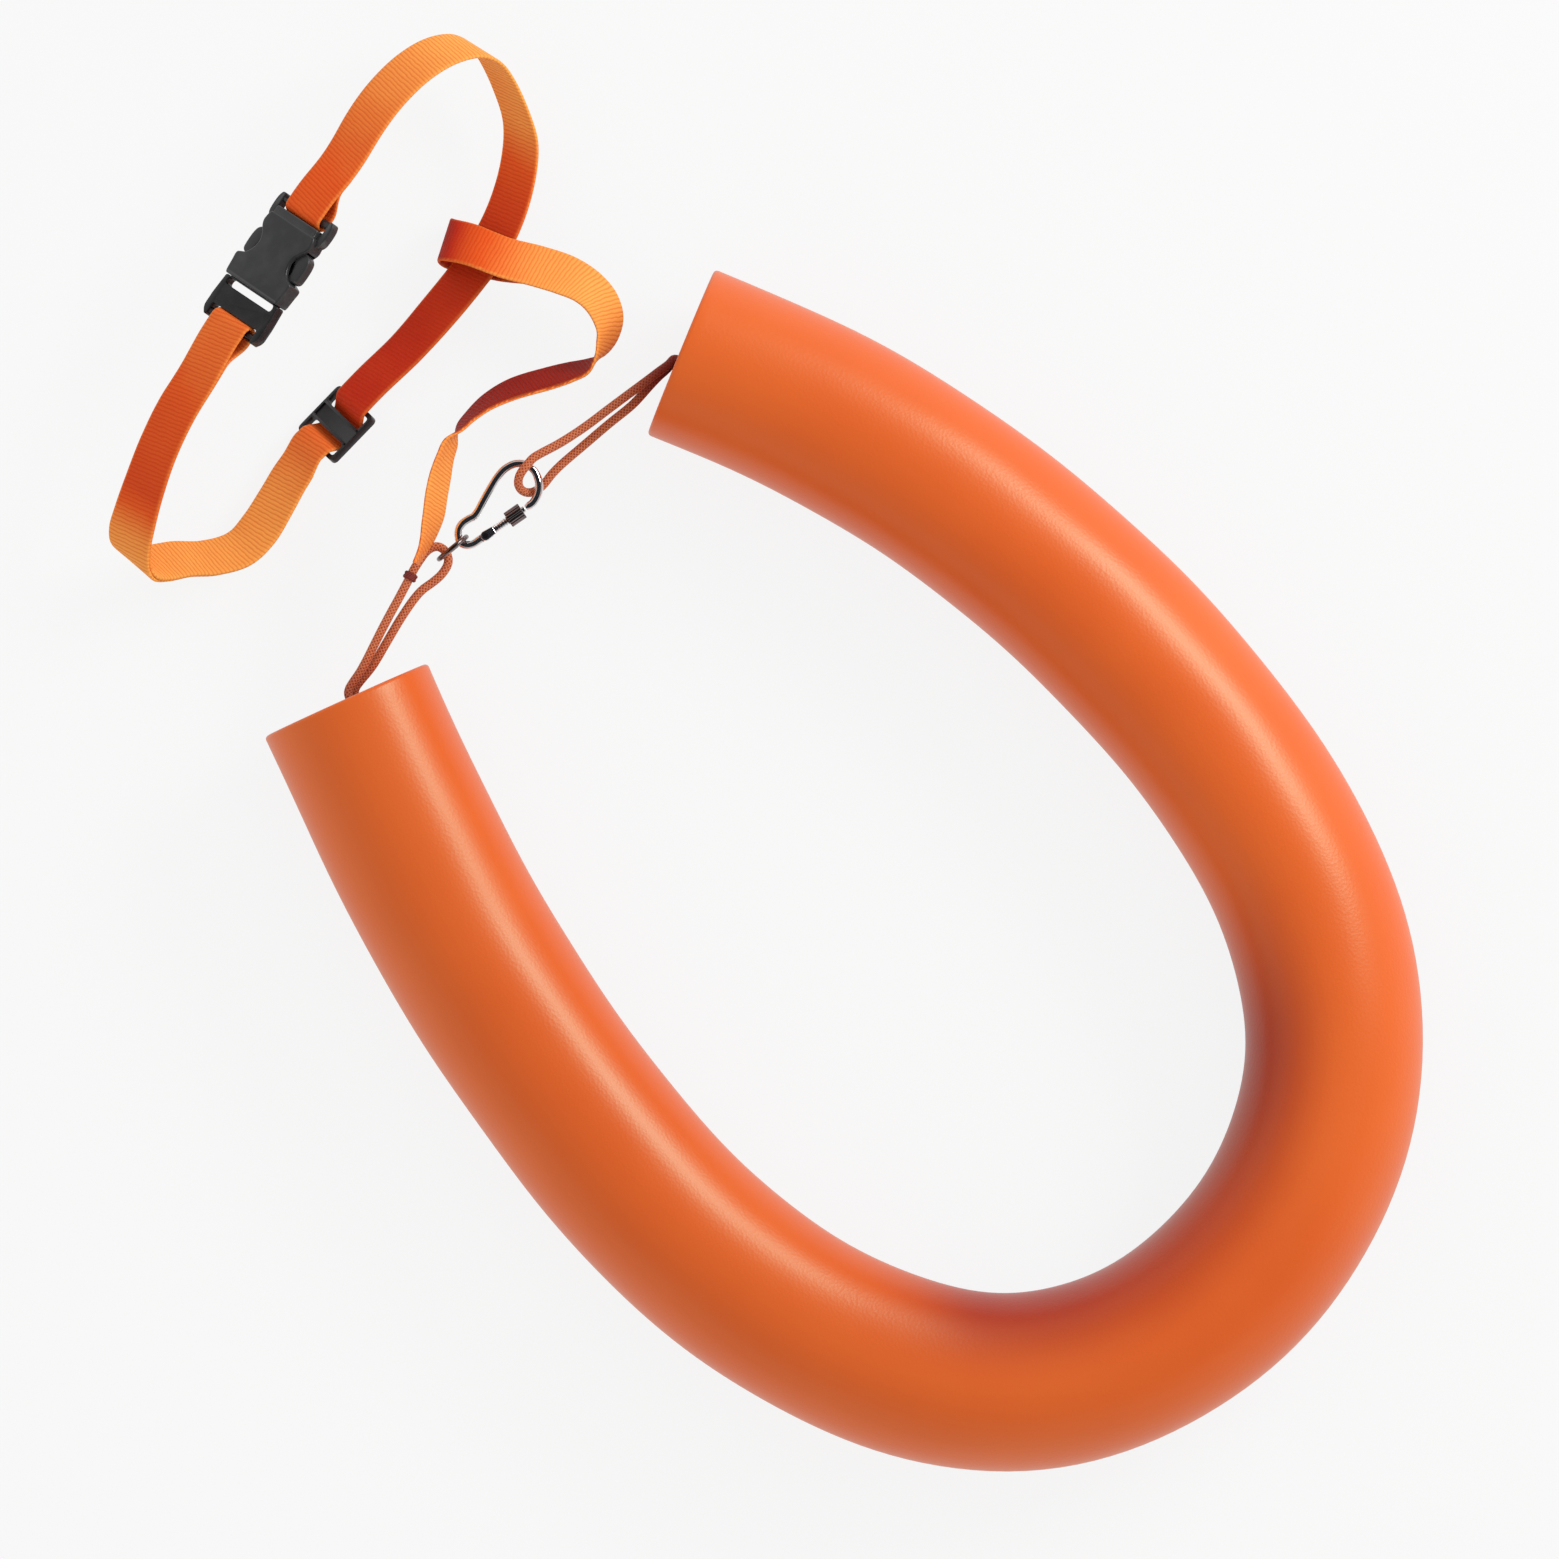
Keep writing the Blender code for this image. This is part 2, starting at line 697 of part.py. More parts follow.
def backwards(rows):
    """The same rows travelled the other way."""
    turned_rows = rows[::-1].copy()
    turned_rows[:, 6:10] *= -1
    return turned_rows


belt_route = (
    (368, 121, 0.97, 33, 35), (389, 93, 0.93, 33, 34), (416, 67, 0.86, 33, 33), (443, 51, 0.78, 33, 32),
    (467, 46, 0.69, 33, 32), (483, 52, 0.60, 33, 32), (496, 68, 0.50, 33, 33), (511, 100, 0.42, 33, 34),
    (520, 131, 0.385, 33, 35), (518, 166, 0.37, 34, 36), (507, 207, 0.37, 35, 36),
    (490, 243, 0.37, 36, 36), (466, 276, 0.37, 38, 37), (438, 310, 0.33, 40, 38),
    (405, 347, 0.265, 43, 42),
)
hip_route = (
    (278, 492, 0.265, 43, 38), (257, 529, 0.28, 45, 34), (238, 548, 0.30, 52, 38),
    (208, 557, 0.33, 58, 40), (181, 558, 0.38, 57, 37), (158, 562, 0.45, 51, 31),
    (141, 562, 0.52, 43, 24), (131.5, 552, 0.58, 36, 19), (130.5, 537, 0.64, 33, 19),
    (135.5, 517, 0.71, 33, 24), (145, 487, 0.79, 33, 31), (160, 447, 0.87, 33, 35),
    (180, 407, 0.95, 33, 36),
)
tether_route = (
    (528, 263, 0.62, 107, 35), (507, 259.5, 0.44, 107, 31), (491, 254.5, 0.28, 107, 24),
    (476, 250, 0.185, 107, 18), (462, 246.5, 0.145, 107, 14), (449.5, 242, 0.22, 107, 15),
    (444.5, 238.5, 0.44, 107, 25), (450.5, 239.5, 0.67, 107, 31), (469.7, 244, 0.83, 107, 34),
    (487, 250.8, 0.90, 107, 36), (506, 258, 0.93, 107, 36), (538, 266.1, 0.89, 107, 35),
    (566, 275.2, 0.84, 118, 36), (587.5, 287, 0.81, 132, 43), (602, 302.5, 0.78, 146, 48),
    (609.7, 323.6, 0.77, 153, 56), (606.7, 341, 0.76, 165, 67), (600, 354.5, 0.76, 160, 80),
    (588, 365.5, 0.76, 85, 74), (570, 371.7, 0.77, 74, 67), (552, 377, 0.78, 71, 64),
    (512, 389, 0.82, 70, 65), (487, 402, 0.87, 60, 71), (470, 416.5, 0.93, 48, 79),
    (458.5, 429.5, 0.98, 37, 85), (450.5, 443, 1.04, 207, 79), (445.4, 457.4, 1.09, 200, 73),
    (440.5, 476.5, 1.15, 196, 68), (436.8, 495.7, 1.21, 193, 67), (434.2, 514.8, 1.27, 192, 68),
    (431, 528, 1.31, 194, 72), (427.3, 541, 1.34, 199, 78), (423, 551.5, 1.37, 206, 83),
    (416.5, 564, 1.40, 209, 87),
)


def buckle_frame():
    """The buckle's frame: X from the plug's outer end to the socket, Z out of the belt."""
    across = heading(buckle_direction_degrees + 90, buckle_tilt_degrees)
    origin = place(*buckle_pixel, belt_rise)
    return frame_matrix(origin, heading(buckle_direction_degrees), -across)


def slider_frame():
    """The slider's frame: X along the strap towards the hip, Z to the inside of the belt."""
    across = heading(slider_direction_degrees - 90, slider_tilt_degrees)
    origin = place(*slider_pixel, belt_route[-1][2] * belt_rise)
    origin = origin - heading(slider_direction_degrees).cross(across) * slider_weave_height()
    return frame_matrix(origin, heading(slider_direction_degrees), across)


def slider_weave_height():
    return slider_thickness / 2 + strap_gap + webbing_thickness / 2


def slider_weave():
    """The strap's way over both end bars of the slider and under its middle bar, in X and Z."""
    over = slider_weave_height()
    inner = slider_middle_bar / 2
    outer = slider_length / 2 - slider_end_bar
    middle = (inner + outer) / 2
    half = (outer - inner) / 2
    ramp = [(middle + half * out, over * up) for out, up in weave_shares]
    side = [(slider_strap_length / 2, over), (slider_length / 2, over)] + ramp + [(inner / 2, -over)]
    return [(-x, z) for x, z in side] + side[::-1]


def belt_line():
    """The belt strap's line from the socket's bar round to the plug's bar, ready to be spread."""
    buckle = buckle_frame()
    slider = slider_frame()
    buckle_across = -(buckle.to_3x3() @ Vector((0, 1, 0)))
    slider_across = slider.to_3x3() @ Vector((0, 1, 0))
    bar = end_bar_inset
    ends = (0, sewn_length / 2, sewn_length)
    rows = local_rows(buckle, [(buckle_length - bar + x, 0) for x in ends], buckle_across)
    rows += strap_rows(belt_route, belt_rise)
    rows += local_rows(slider, slider_weave(), slider_across)
    rows += strap_rows(hip_route, belt_rise)
    rows += local_rows(buckle, [(bar - x, 0) for x in ends[::-1]], buckle_across)
    return strap_stations(rows, bar_lift + spread_length)


def nearest_length(rows, point):
    walked = walked_lengths(rows)
    return walked[np.argmin(np.linalg.norm(rows[:, :3] - np.array(point), axis=1))]


def make_belt_straps(material):
    """The belt strap in the runs between the pieces that move on it."""
    line = belt_line()
    walked = walked_lengths(line)
    total = walked[-1]
    slider = nearest_length(line, slider_frame() @ Vector((0, 0, -slider_weave_height())))
    half = slider_strap_length / 2
    from_socket = [spread_share(length) for length in walked]
    from_plug = [spread_share(total - length) for length in walked]
    main = shifted(line, [bar_lift * (plug - socket) for socket, plug in zip(from_socket, from_plug)])
    inner = shifted(line, [bar_lift * share + layer_pitch * (1 - share) for share in from_socket])
    outer = shifted(line, [-bar_lift * share - layer_pitch * (1 - share) for share in from_plug])
    sewn = backwards(strap_slice(inner, walked, 0, sewn_length))
    socket_turn = bar_turn(backwards(line)[-1], -1)
    belt = np.vstack([sewn, socket_turn, strap_slice(main, walked, 0, slider - half)])
    make_strap("belt_strap", belt, material)
    make_strap("slider_strap", strap_slice(main, walked, slider - half + run_gap, slider + half), material)
    plug_start = total - plug_strap_length
    make_strap("hip_strap", strap_slice(main, walked, slider + half + run_gap, plug_start), material)
    plug_turn = bar_turn(line[-1], 1)
    plug_runs = [strap_slice(main, walked, plug_start + run_gap, total), plug_turn]
    plug_runs.append(backwards(strap_slice(outer, walked, plug_start + run_gap, total)))
    make_strap("plug_strap", np.vstack(plug_runs), material)
    make_strap("strap_tail", strap_slice(outer, walked, slider + tail_stop, plug_start), material)


def make_tether(material):
    return make_strap("tether_strap", strap_stations(strap_rows(tether_route, tether_rise)), material)


def make_tether_band(material):
    """The band round the plain cord loop that the tether's end is sewn to."""
    route = cord_route(plain_cord_route)
    before, after = route[band_row : band_row + 2]
    matrix = frame_matrix((before + after) / 2, Vector((0, 0, 1)).cross(after - before), Vector((0, 0, 1)))
    inner = cord_radius + strap_gap
    band = hollow_prism(
        "tether_band",
        ring_points(inner + band_wall, round_sides),
        ring_points(inner, round_sides),
        -band_length / 2,
        band_length / 2,
        matrix,
    )
    return give(band, material)


# Side release buckle

def scaled_outline(shares, start, length, half_width):
    """Places from shares of a length along X, from its start, and of a half width along Y."""
    return [(start + length * along, half_width * out) for along, out in shares]


def mirrored_outline(half):
    """A closed outline from its half at +Y, listed along X."""
    return list(half) + [(x, -y) for x, y in half[::-1]]


def end_bar(name, bar_x):
    """The round bar that a strap's loop sits on, between a frame's two arms."""
    half = buckle_width / 2 - slot_side_wall * end_bar_root_share
    along = buckle_frame() @ Matrix.Translation((bar_x, 0, 0)) @ Matrix.Rotation(math.pi / 2, 4, "Z")
    return turned(name, [(-half, end_bar_diameter / 2), (half, end_bar_diameter / 2)], end_bar_sides, along)


def socket_body_length():
    return buckle_length - strap_slot_reach - socket_end_lip - plug_mouth


def cavity_half_width():
    return buckle_width / 2 * socket_cavity_width_share


def prong_hinge_place():
    return plug_mouth + socket_body_length() * prong_hinge_place_share


def make_socket(material):
    buckle = buckle_frame()
    half_width = buckle_width / 2
    body_half = socket_thickness / 2
    length = socket_body_length()
    outline = mirrored_outline(scaled_outline(waist_shares, plug_mouth, length, half_width))
    body = prism("buckle_socket", outline, -body_half, body_half, buckle)
    frame_start = buckle_length - socket_frame_length
    frame_half = frame_thickness / 2
    outline = scaled_outline(socket_frame_shares, frame_start, socket_frame_length, half_width)
    end_frame = prism("socket end frame", mirrored_outline(outline), -frame_half, frame_half, buckle)
    soften(body, buckle_bevel)
    change(body, end_frame, "UNION")
    slot_half = half_width - slot_side_wall
    cavity_half = cavity_half_width()
    cavity_end = plug_mouth + length * socket_cavity_depth_share
    cavity_height = body_half - socket_wall
    cut_box(
        body, "socket cavity", (plug_mouth - cut_overrun, cavity_end),
        (-cavity_half, cavity_half), (-cavity_height, cavity_height), buckle,
    )
    cut_box(
        body, "socket strap slot", (buckle_length - strap_slot_reach, buckle_length + cut_overrun),
        (-slot_half, slot_half), (-socket_thickness, socket_thickness), buckle,
    )
    change(body, end_bar("socket end bar", buckle_length - end_bar_inset), "UNION")
    return give(body, material)


def plug_half_thickness():
    return socket_thickness / 2 - socket_wall - touch_gap


def make_plug(material):
    buckle = buckle_frame()
    half_width = buckle_width / 2
    neck = cavity_half_width() - touch_gap
    shoulder = plug_mouth - plug_mouth_gap
    base_end = prong_hinge_place() - prong_root_gap
    guide_end = plug_mouth + socket_body_length() * guide_reach_share
    guide_half = guide_width / 2
    thickness = plug_half_thickness()
    outline = scaled_outline(plug_shares, 0, shoulder, half_width)
    outline += [(shoulder, neck), (base_end, neck), (base_end, guide_half)]
    outline += [(guide_end - guide_half, guide_half), (guide_end, guide_half * guide_tip_share)]
    plug = prism("buckle_plug", mirrored_outline(outline), -thickness, thickness, buckle)
    slot_half = half_width - slot_side_wall
    peek_half = half_width - peek_slot_side_wall
    peek_range = (peek_slot_start, peek_slot_start + peek_slot_length)
    tall = (-socket_thickness, socket_thickness)
    strap_range = (-cut_overrun, strap_slot_reach)
    cut_box(plug, "plug strap slot", strap_range, (-slot_half, slot_half), tall, buckle)
    cut_box(plug, "plug peek slot", peek_range, (-peek_half, peek_half), tall, buckle)
    change(plug, end_bar("plug end bar", end_bar_inset), "UNION")
    return give(plug, material)


def make_prong(name, side, material):
    """A springy arm of the plug, hinged where it meets the plug's base."""
    half_width = buckle_width / 2
    reach = socket_body_length() * prong_reach_share
    outline = scaled_outline(prong_shares, 0, reach, side * half_width * prong_bulge_share)
    if side < 0:
        outline = outline[::-1]
    hinge_side = side * half_width * prong_hinge_side_share
    hinge = buckle_frame() @ Matrix.Translation((prong_hinge_place(), hinge_side, 0))
    thickness = plug_half_thickness()
    return give(prism(name, outline, -thickness, thickness, hinge), material)


def make_slider(material):
    """The tri-glide: a flat frame with a middle bar."""
    slider = slider_frame()
    half_length = slider_length / 2
    half_width = slider_width / 2
    outline = [
        (-half_length, half_width - slider_corner), (-half_length + slider_corner, half_width),
        (half_length - slider_corner, half_width), (half_length, half_width - slider_corner),
    ]
    made = prism("slider", mirrored_outline(outline), -slider_thickness / 2, slider_thickness / 2, slider)
    slot_half = webbing_width / 2 + slider_slot_gap
    tall = (-slider_thickness, slider_thickness)
    inner = slider_middle_bar / 2
    outer = half_length - slider_end_bar
    for side, name in ((1, "hip"), (-1, "back")):
        low, high = sorted((side * inner, side * outer))
        cut_box(made, "slider slot " + name, (low, high), (-slot_half, slot_half), tall, slider)
    soften(made, slider_bevel)
    return give(made, material)


# Snap hook

snap_wire_shares = (
    (0.760, 0.236), (0.835, 0.222), (0.915, 0.175), (0.968, 0.105), (1.0, 0.010), (0.978, -0.085),
    (0.915, -0.155), (0.815, -0.190), (0.700, -0.186), (0.550, -0.150), (0.415, -0.112), (0.335, -0.088),
    (0.275, -0.080), (0.215, -0.098), (0.150, -0.110), (0.082, -0.098), (0.030, -0.055), (0.0, 0.006),
    (0.022, 0.066), (0.075, 0.104), (0.140, 0.118),
)


def gate_frame():
    """The gate's frame: X from its hinge to its tip, Z up."""
    hinge = Matrix.Translation((snap_length * gate_hinge_share[0], snap_length * gate_hinge_share[1], 0))
    return snap_frame() @ hinge @ Matrix.Rotation(math.radians(gate_turn_degrees), 4, "Z")


def make_snap_body(material):
    """The bent wire of the snap, with the flat eye that the gate is hinged on."""
    to_world = snap_frame()
    gate = gate_frame()
    to_snap = to_world.inverted() @ gate
    tip = to_snap @ Vector((gate_length + gate_tip_gap, 0, 0))
    after_tip = to_snap @ Vector((gate_length + gate_tip_gap + snap_tip_straight, 0, 0))
    eye = to_snap @ Vector((0, 0, 0))
    rows = [tuple(tip), tuple(after_tip)]
    rows += [(snap_length * u, snap_length * v, 0) for u, v in snap_wire_shares]
    rows.append(tuple(eye + (Vector(rows[-1]) - eye).normalized() * gate_fork_width * gate_eye_reach_share))
    points = smooth_rows(rows, snap_wire_step)
    body = swept_tube("snap_body", points, snap_wire_diameter / 2, snap_wire_sides, matrix=to_world)
    cheek_room = gate_fork_width / 2 + pin_clearance
    for side, name in ((1, "upper"), (-1, "lower")):
        low, high = sorted((side * gate_eye_thickness / 2, side * snap_wire_diameter))
        disc = prism("eye flat " + name, ring_points(cheek_room, round_sides), low, high, gate)
        change(body, disc, "DIFFERENCE")
    eye_disc = prism(
        "hinge eye", ring_points(gate_fork_width / 2 - touch_gap, round_sides),
        -gate_eye_thickness / 2, gate_eye_thickness / 2, gate,
    )
    change(body, eye_disc, "UNION")
    change(body, pin_hole("body pin hole", gate), "DIFFERENCE")
    move_origin(body, Vector((snap_swing_place, 0, 0)))
    return give(body, material)


def move_origin(made, local):
    """Puts an object's origin on its joint's axis and leaves its shape where it is."""
    made.data.transform(Matrix.Translation(-local))
    made.matrix_world = made.matrix_world @ Matrix.Translation(local)


def pin_hole(name, gate):
    radius = gate_pin_diameter / 2 + pin_clearance
    return prism(name, ring_points(radius, round_sides // 2), -gate_fork_height, gate_fork_height, gate)


def make_gate(material):
    """The hinged gate: a threaded rod with a fork at its hinge and a bore for its spring."""
    gate = gate_frame()
    outer = gate_diameter / 2
    core = outer * gate_core_share
    profile = [(gate_fork_length * gate_rod_root_share, core), (thread_start, core)]
    turns = int((gate_length - thread_start - thread_pitch) / thread_pitch)
    for k in range(turns):
        start = thread_start + thread_pitch * k
        profile += [(start + thread_pitch * share, outer) for share in thread_crest_shares]
        profile.append((start + thread_pitch * thread_root_share, outer - thread_depth))
    profile.append((gate_length - thread_pitch * thread_end_share, outer - thread_depth))
    profile.append((gate_length, outer - thread_depth * 2))
    rod = turned("gate rod", profile, gate_rod_sides, gate)
    half = gate_fork_width / 2
    corner = half * fork_corner_share
    rounding = [math.radians(degrees) for degrees in range(90, 271, 30)]
    outline = [(half * math.cos(angle), half * math.sin(angle)) for angle in rounding]
    outline += [(gate_fork_length, -corner), (gate_fork_length, corner)]
    made = prism("snap_gate", outline, -gate_fork_height / 2, gate_fork_height / 2, gate)
    change(made, rod, "UNION")
    slot = gate_eye_thickness / 2 + touch_gap
    slot_end = gate_fork_width / 2 + touch_gap * 2
    wide = (-gate_fork_width, gate_fork_width)
    cut_box(made, "gate fork slot", (-gate_fork_width, slot_end), wide, (-slot, slot), gate)
    change(made, pin_hole("gate pin hole", gate), "DIFFERENCE")
    bore_radius = spring_diameter / 2 + spring_wire_diameter / 2 + touch_gap
    bore_end = slot_end + spring_length + touch_gap
    bore_profile = [(slot_end - spring_bore_overrun, bore_radius), (bore_end, bore_radius)]
    change(made, turned("gate spring bore", bore_profile, round_sides, gate), "DIFFERENCE")
    return give(made, material)


def make_gate_pin(material):
    shaft = gate_pin_diameter / 2
    head = gate_pin_head_diameter / 2
    inner = gate_fork_height / 2 + touch_gap
    outer = inner + gate_pin_head_thickness
    half = [(inner, shaft), (inner, head), (outer, head)]
    profile = [(-x, radius) for x, radius in half[::-1]] + half
    upright = Matrix.Rotation(math.radians(-90), 4, "Y")
    return give(turned("gate_pin", profile, round_sides // 2, gate_frame() @ upright), material)


def make_gate_spring(material):
    """The coil in the gate that pushes it shut against the hinge eye."""
    start = gate_fork_width / 2 + spring_wire_diameter / 2
    total = spring_turns * spring_points_per_turn
    points = []
    for k in range(total + 1):
        angle = 2 * math.pi * k / spring_points_per_turn
        x = start + (spring_length - spring_wire_diameter) * k / total
        points.append((x, spring_diameter / 2 * math.cos(angle), spring_diameter / 2 * math.sin(angle)))
    radius = spring_wire_diameter / 2
    spring = swept_tube("gate_spring", points, radius, spring_wire_sides, matrix=gate_frame())
    return give(spring, material)


def make_lock_nut(material):
    """The fluted nut that screws along the gate."""
    outer = []
    for k, (x, y) in enumerate(ring_points(nut_diameter / 2, nut_flutes * 2)):
        share = 1 - (nut_flute_depth / (nut_diameter / 2) if k % 2 else 0)
        outer.append((x * share, y * share))
    inner = ring_points(gate_diameter / 2 + touch_gap, nut_flutes * 2)
    along = gate_frame() @ Matrix.Translation((nut_place, 0, 0)) @ Matrix.Rotation(math.radians(90), 4, "Y")
    return give(hollow_prism("lock_nut", outer, inner, -nut_length / 2, nut_length / 2, along), material)


def ring_centre():
    """The link ring lies between the snap's nose and the bight of the plain cord loop."""
    nose = place(*snap_nose_pixel, cord_height)
    back = ring_inner_diameter / 2 - snap_wire_diameter / 2 - strap_gap
    return nose - heading(ring_direction_degrees) * back


def make_link_ring(material):
    along = heading(ring_direction_degrees)
    radius = (ring_inner_diameter + ring_wire_diameter) / 2
    centre = ring_centre()
    points = []
    for k in range(ring_steps):
        angle = 2 * math.pi * k / ring_steps
        points.append(centre + along * radius * math.cos(angle) + Vector((0, 0, radius * math.sin(angle))))
    ring = swept_tube("link_ring", points, ring_wire_diameter / 2, ring_wire_sides, closed=True)
    return give(ring, material)


def centre_on_origin():
    """Moves all pieces so that the origin lies under the middle of the bounding box."""
    bpy.context.view_layer.update()
    graph = bpy.context.evaluated_depsgraph_get()
    corners = []
    for made in bpy.context.scene.objects:
        if made.type != "MESH" or made.hide_render:
            continue
        shape = made.evaluated_get(graph)
        corners += [shape.matrix_world @ vertex.co for vertex in shape.data.vertices]
    lows = [min(corner[axis] for corner in corners) for axis in range(3)]
    highs = [max(corner[axis] for corner in corners) for axis in range(3)]
    shift = Matrix.Translation((-(lows[0] + highs[0]) / 2, -(lows[1] + highs[1]) / 2, -lows[2]))
    for made in bpy.context.scene.objects:
        made.matrix_world = shift @ made.matrix_world
    print("moved by", [round(value, 6) for value in shift.translation])


def build():
    clear_scene()
    foam = finish_material("foam", foam_orange, 0.45, 0.0)
    webbing = finish_material("webbing", webbing_orange, 0.8, 0.0)
    cord = finish_material("cord", cord_orange, 0.75, 0.0)
    band = finish_material("band", band_red, 0.8, 0.0)
    plastic = finish_material("buckle plastic", buckle_black, 0.4, 0.0)
    bright = finish_material("bright steel", steel_bright, 0.15, 1.0)
    dark = finish_material("dark steel", steel_dark, 0.25, 1.0)
    frames = tube_frames()
    make_foam_tube(frames, foam)
    make_bore_cords(frames, cord)
    make_cord_sleeve(frames, bright)
    make_free_cords(frames, cord)
    make_belt_straps(webbing)
    make_tether(webbing)
    make_tether_band(band)
    make_socket(plastic)
    make_plug(plastic)
    make_prong("prong_left", 1, plastic)
    make_prong("prong_right", -1, plastic)
    make_slider(plastic)
    make_snap_body(bright)
    make_gate(bright)
    make_gate_pin(bright)
    make_gate_spring(bright)
    make_lock_nut(dark)
    make_link_ring(bright)
    centre_on_origin()


build()
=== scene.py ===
import math
import bpy
import numpy as np
from mathutils import Matrix, Vector


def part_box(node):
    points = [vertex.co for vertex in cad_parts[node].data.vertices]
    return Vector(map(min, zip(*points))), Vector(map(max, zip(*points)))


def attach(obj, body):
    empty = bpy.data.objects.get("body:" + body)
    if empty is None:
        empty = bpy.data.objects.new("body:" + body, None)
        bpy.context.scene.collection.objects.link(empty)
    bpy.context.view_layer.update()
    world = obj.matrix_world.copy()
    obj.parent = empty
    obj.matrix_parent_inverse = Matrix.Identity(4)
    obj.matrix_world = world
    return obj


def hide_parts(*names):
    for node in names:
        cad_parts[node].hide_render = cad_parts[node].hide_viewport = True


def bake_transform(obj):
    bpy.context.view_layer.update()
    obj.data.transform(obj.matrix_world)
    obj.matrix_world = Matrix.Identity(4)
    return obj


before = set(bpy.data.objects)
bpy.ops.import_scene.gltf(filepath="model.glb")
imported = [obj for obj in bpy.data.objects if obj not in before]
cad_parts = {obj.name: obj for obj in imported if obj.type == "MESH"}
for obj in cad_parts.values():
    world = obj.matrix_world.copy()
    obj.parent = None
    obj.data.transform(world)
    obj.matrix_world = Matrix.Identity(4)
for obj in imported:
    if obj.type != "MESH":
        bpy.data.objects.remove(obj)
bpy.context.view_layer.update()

# Layout: the belt lies flat and was seen from straight above, so routes are places in the picture
picture = {
    "size": 1559, "turn": 44.8, "tubeLength": 0.986, "cordHeight": 0.0345,
    "snapNose": (460, 542), "ringDirection": -39.4, "ringInner": 0.0118, "ringWire": 0.0020,
    "snapWire": 0.0034, "strapGap": 0.0005, "stations": 46,
}
tubeRoute = (
    (681, 352), (805, 406), (964, 502), (1107, 623), (1229, 764), (1316, 929), (1334, 1052),
    (1306, 1173), (1191, 1318), (1018, 1382), (838, 1339), (685, 1232), (563, 1090), (461, 934),
    (403, 823), (346, 700),
)


def evenSpline(points, count):
    # evenly spaced places on the natural cubic spline through the points
    points = np.array(points, float)
    knots = np.concatenate([[0], np.cumsum(np.linalg.norm(np.diff(points, axis=0), axis=1))])
    gaps = np.diff(knots)
    size = len(points)
    system = np.eye(size)
    target = np.zeros_like(points)
    for i in range(1, size - 1):
        system[i, i - 1:i + 2] = (gaps[i - 1], 2 * (gaps[i - 1] + gaps[i]), gaps[i])
        target[i] = 6 * ((points[i + 1] - points[i]) / gaps[i] - (points[i] - points[i - 1]) / gaps[i - 1])
    bends = np.linalg.solve(system, target)
    dense = np.linspace(0, knots[-1], 1200)
    span = np.clip(np.searchsorted(knots, dense, side="right") - 1, 0, size - 2)
    width = gaps[span][:, None]
    right = (dense - knots[span])[:, None]
    left = width - right
    curve = (
        (bends[span] * left**3 + bends[span + 1] * right**3) / (6 * width)
        + (points[span] / width - bends[span] * width / 6) * left
        + (points[span + 1] / width - bends[span + 1] * width / 6) * right
    )
    return evenlyAlong(curve, count)


def walkedLengths(points):
    return np.concatenate([[0], np.cumsum(np.linalg.norm(np.diff(points[:, :3], axis=0), axis=1))])


def evenlyAlong(points, count):
    walked = walkedLengths(points)
    wanted = np.linspace(0, walked[-1], count)
    return np.stack([np.interp(wanted, walked, column) for column in points.T], axis=1)


def smoothRows(rows, step):
    # rows of place and other values, filled in on a centripetal curve about every step
    rows = np.array(rows, float)
    padded = np.vstack([2 * rows[0] - rows[1], rows, 2 * rows[-1] - rows[-2]])
    filled = []
    for i in range(len(rows) - 1):
        p0, p1, p2, p3 = padded[i:i + 4]
        t1 = np.linalg.norm(p1[:3] - p0[:3]) ** 0.5
        t2 = t1 + np.linalg.norm(p2[:3] - p1[:3]) ** 0.5
        t3 = t2 + np.linalg.norm(p3[:3] - p2[:3]) ** 0.5
        pieces = max(1, math.ceil(np.linalg.norm(p2[:3] - p1[:3]) / step))
        for k in range(pieces):
            t = t1 + (t2 - t1) * k / pieces
            a1 = (t1 - t) / t1 * p0 + t / t1 * p1
            a2 = (t2 - t) / (t2 - t1) * p1 + (t - t1) / (t2 - t1) * p2
            a3 = (t3 - t) / (t3 - t2) * p2 + (t - t2) / (t3 - t2) * p3
            b1 = (t2 - t) / t2 * a1 + t / t2 * a2
            b2 = (t3 - t) / (t3 - t1) * a2 + (t - t1) / (t3 - t1) * a3
            filled.append((t2 - t) / (t2 - t1) * b1 + (t - t1) / (t2 - t1) * b2)
    filled.append(rows[-1])
    return np.array(filled)


tubeLine = evenSpline(tubeRoute, picture["stations"])
pixelSize = picture["tubeLength"] / walkedLengths(tubeLine)[-1]
layoutCentre = (np.array(tubeRoute[0]) + np.array(tubeRoute[-1])) / 2
layoutCos = math.cos(math.radians(picture["turn"]))
layoutSin = math.sin(math.radians(picture["turn"]))
layoutShift = Vector((0, 0, 0))


def place(px, py, height=0.0):
    right = px - layoutCentre[0]
    down = py - layoutCentre[1]
    across = (-right * layoutSin + down * layoutCos) * pixelSize
    along = (right * layoutCos + down * layoutSin) * pixelSize
    return Vector((across, along, height)) + layoutShift


def heading(degrees, tiltDegrees=0.0):
    angle = math.radians(degrees)
    tilt = math.radians(tiltDegrees)
    across = -math.cos(angle) * layoutSin + math.sin(angle) * layoutCos
    along = math.cos(angle) * layoutCos + math.sin(angle) * layoutSin
    return Vector((across * math.cos(tilt), along * math.cos(tilt), math.sin(tilt)))


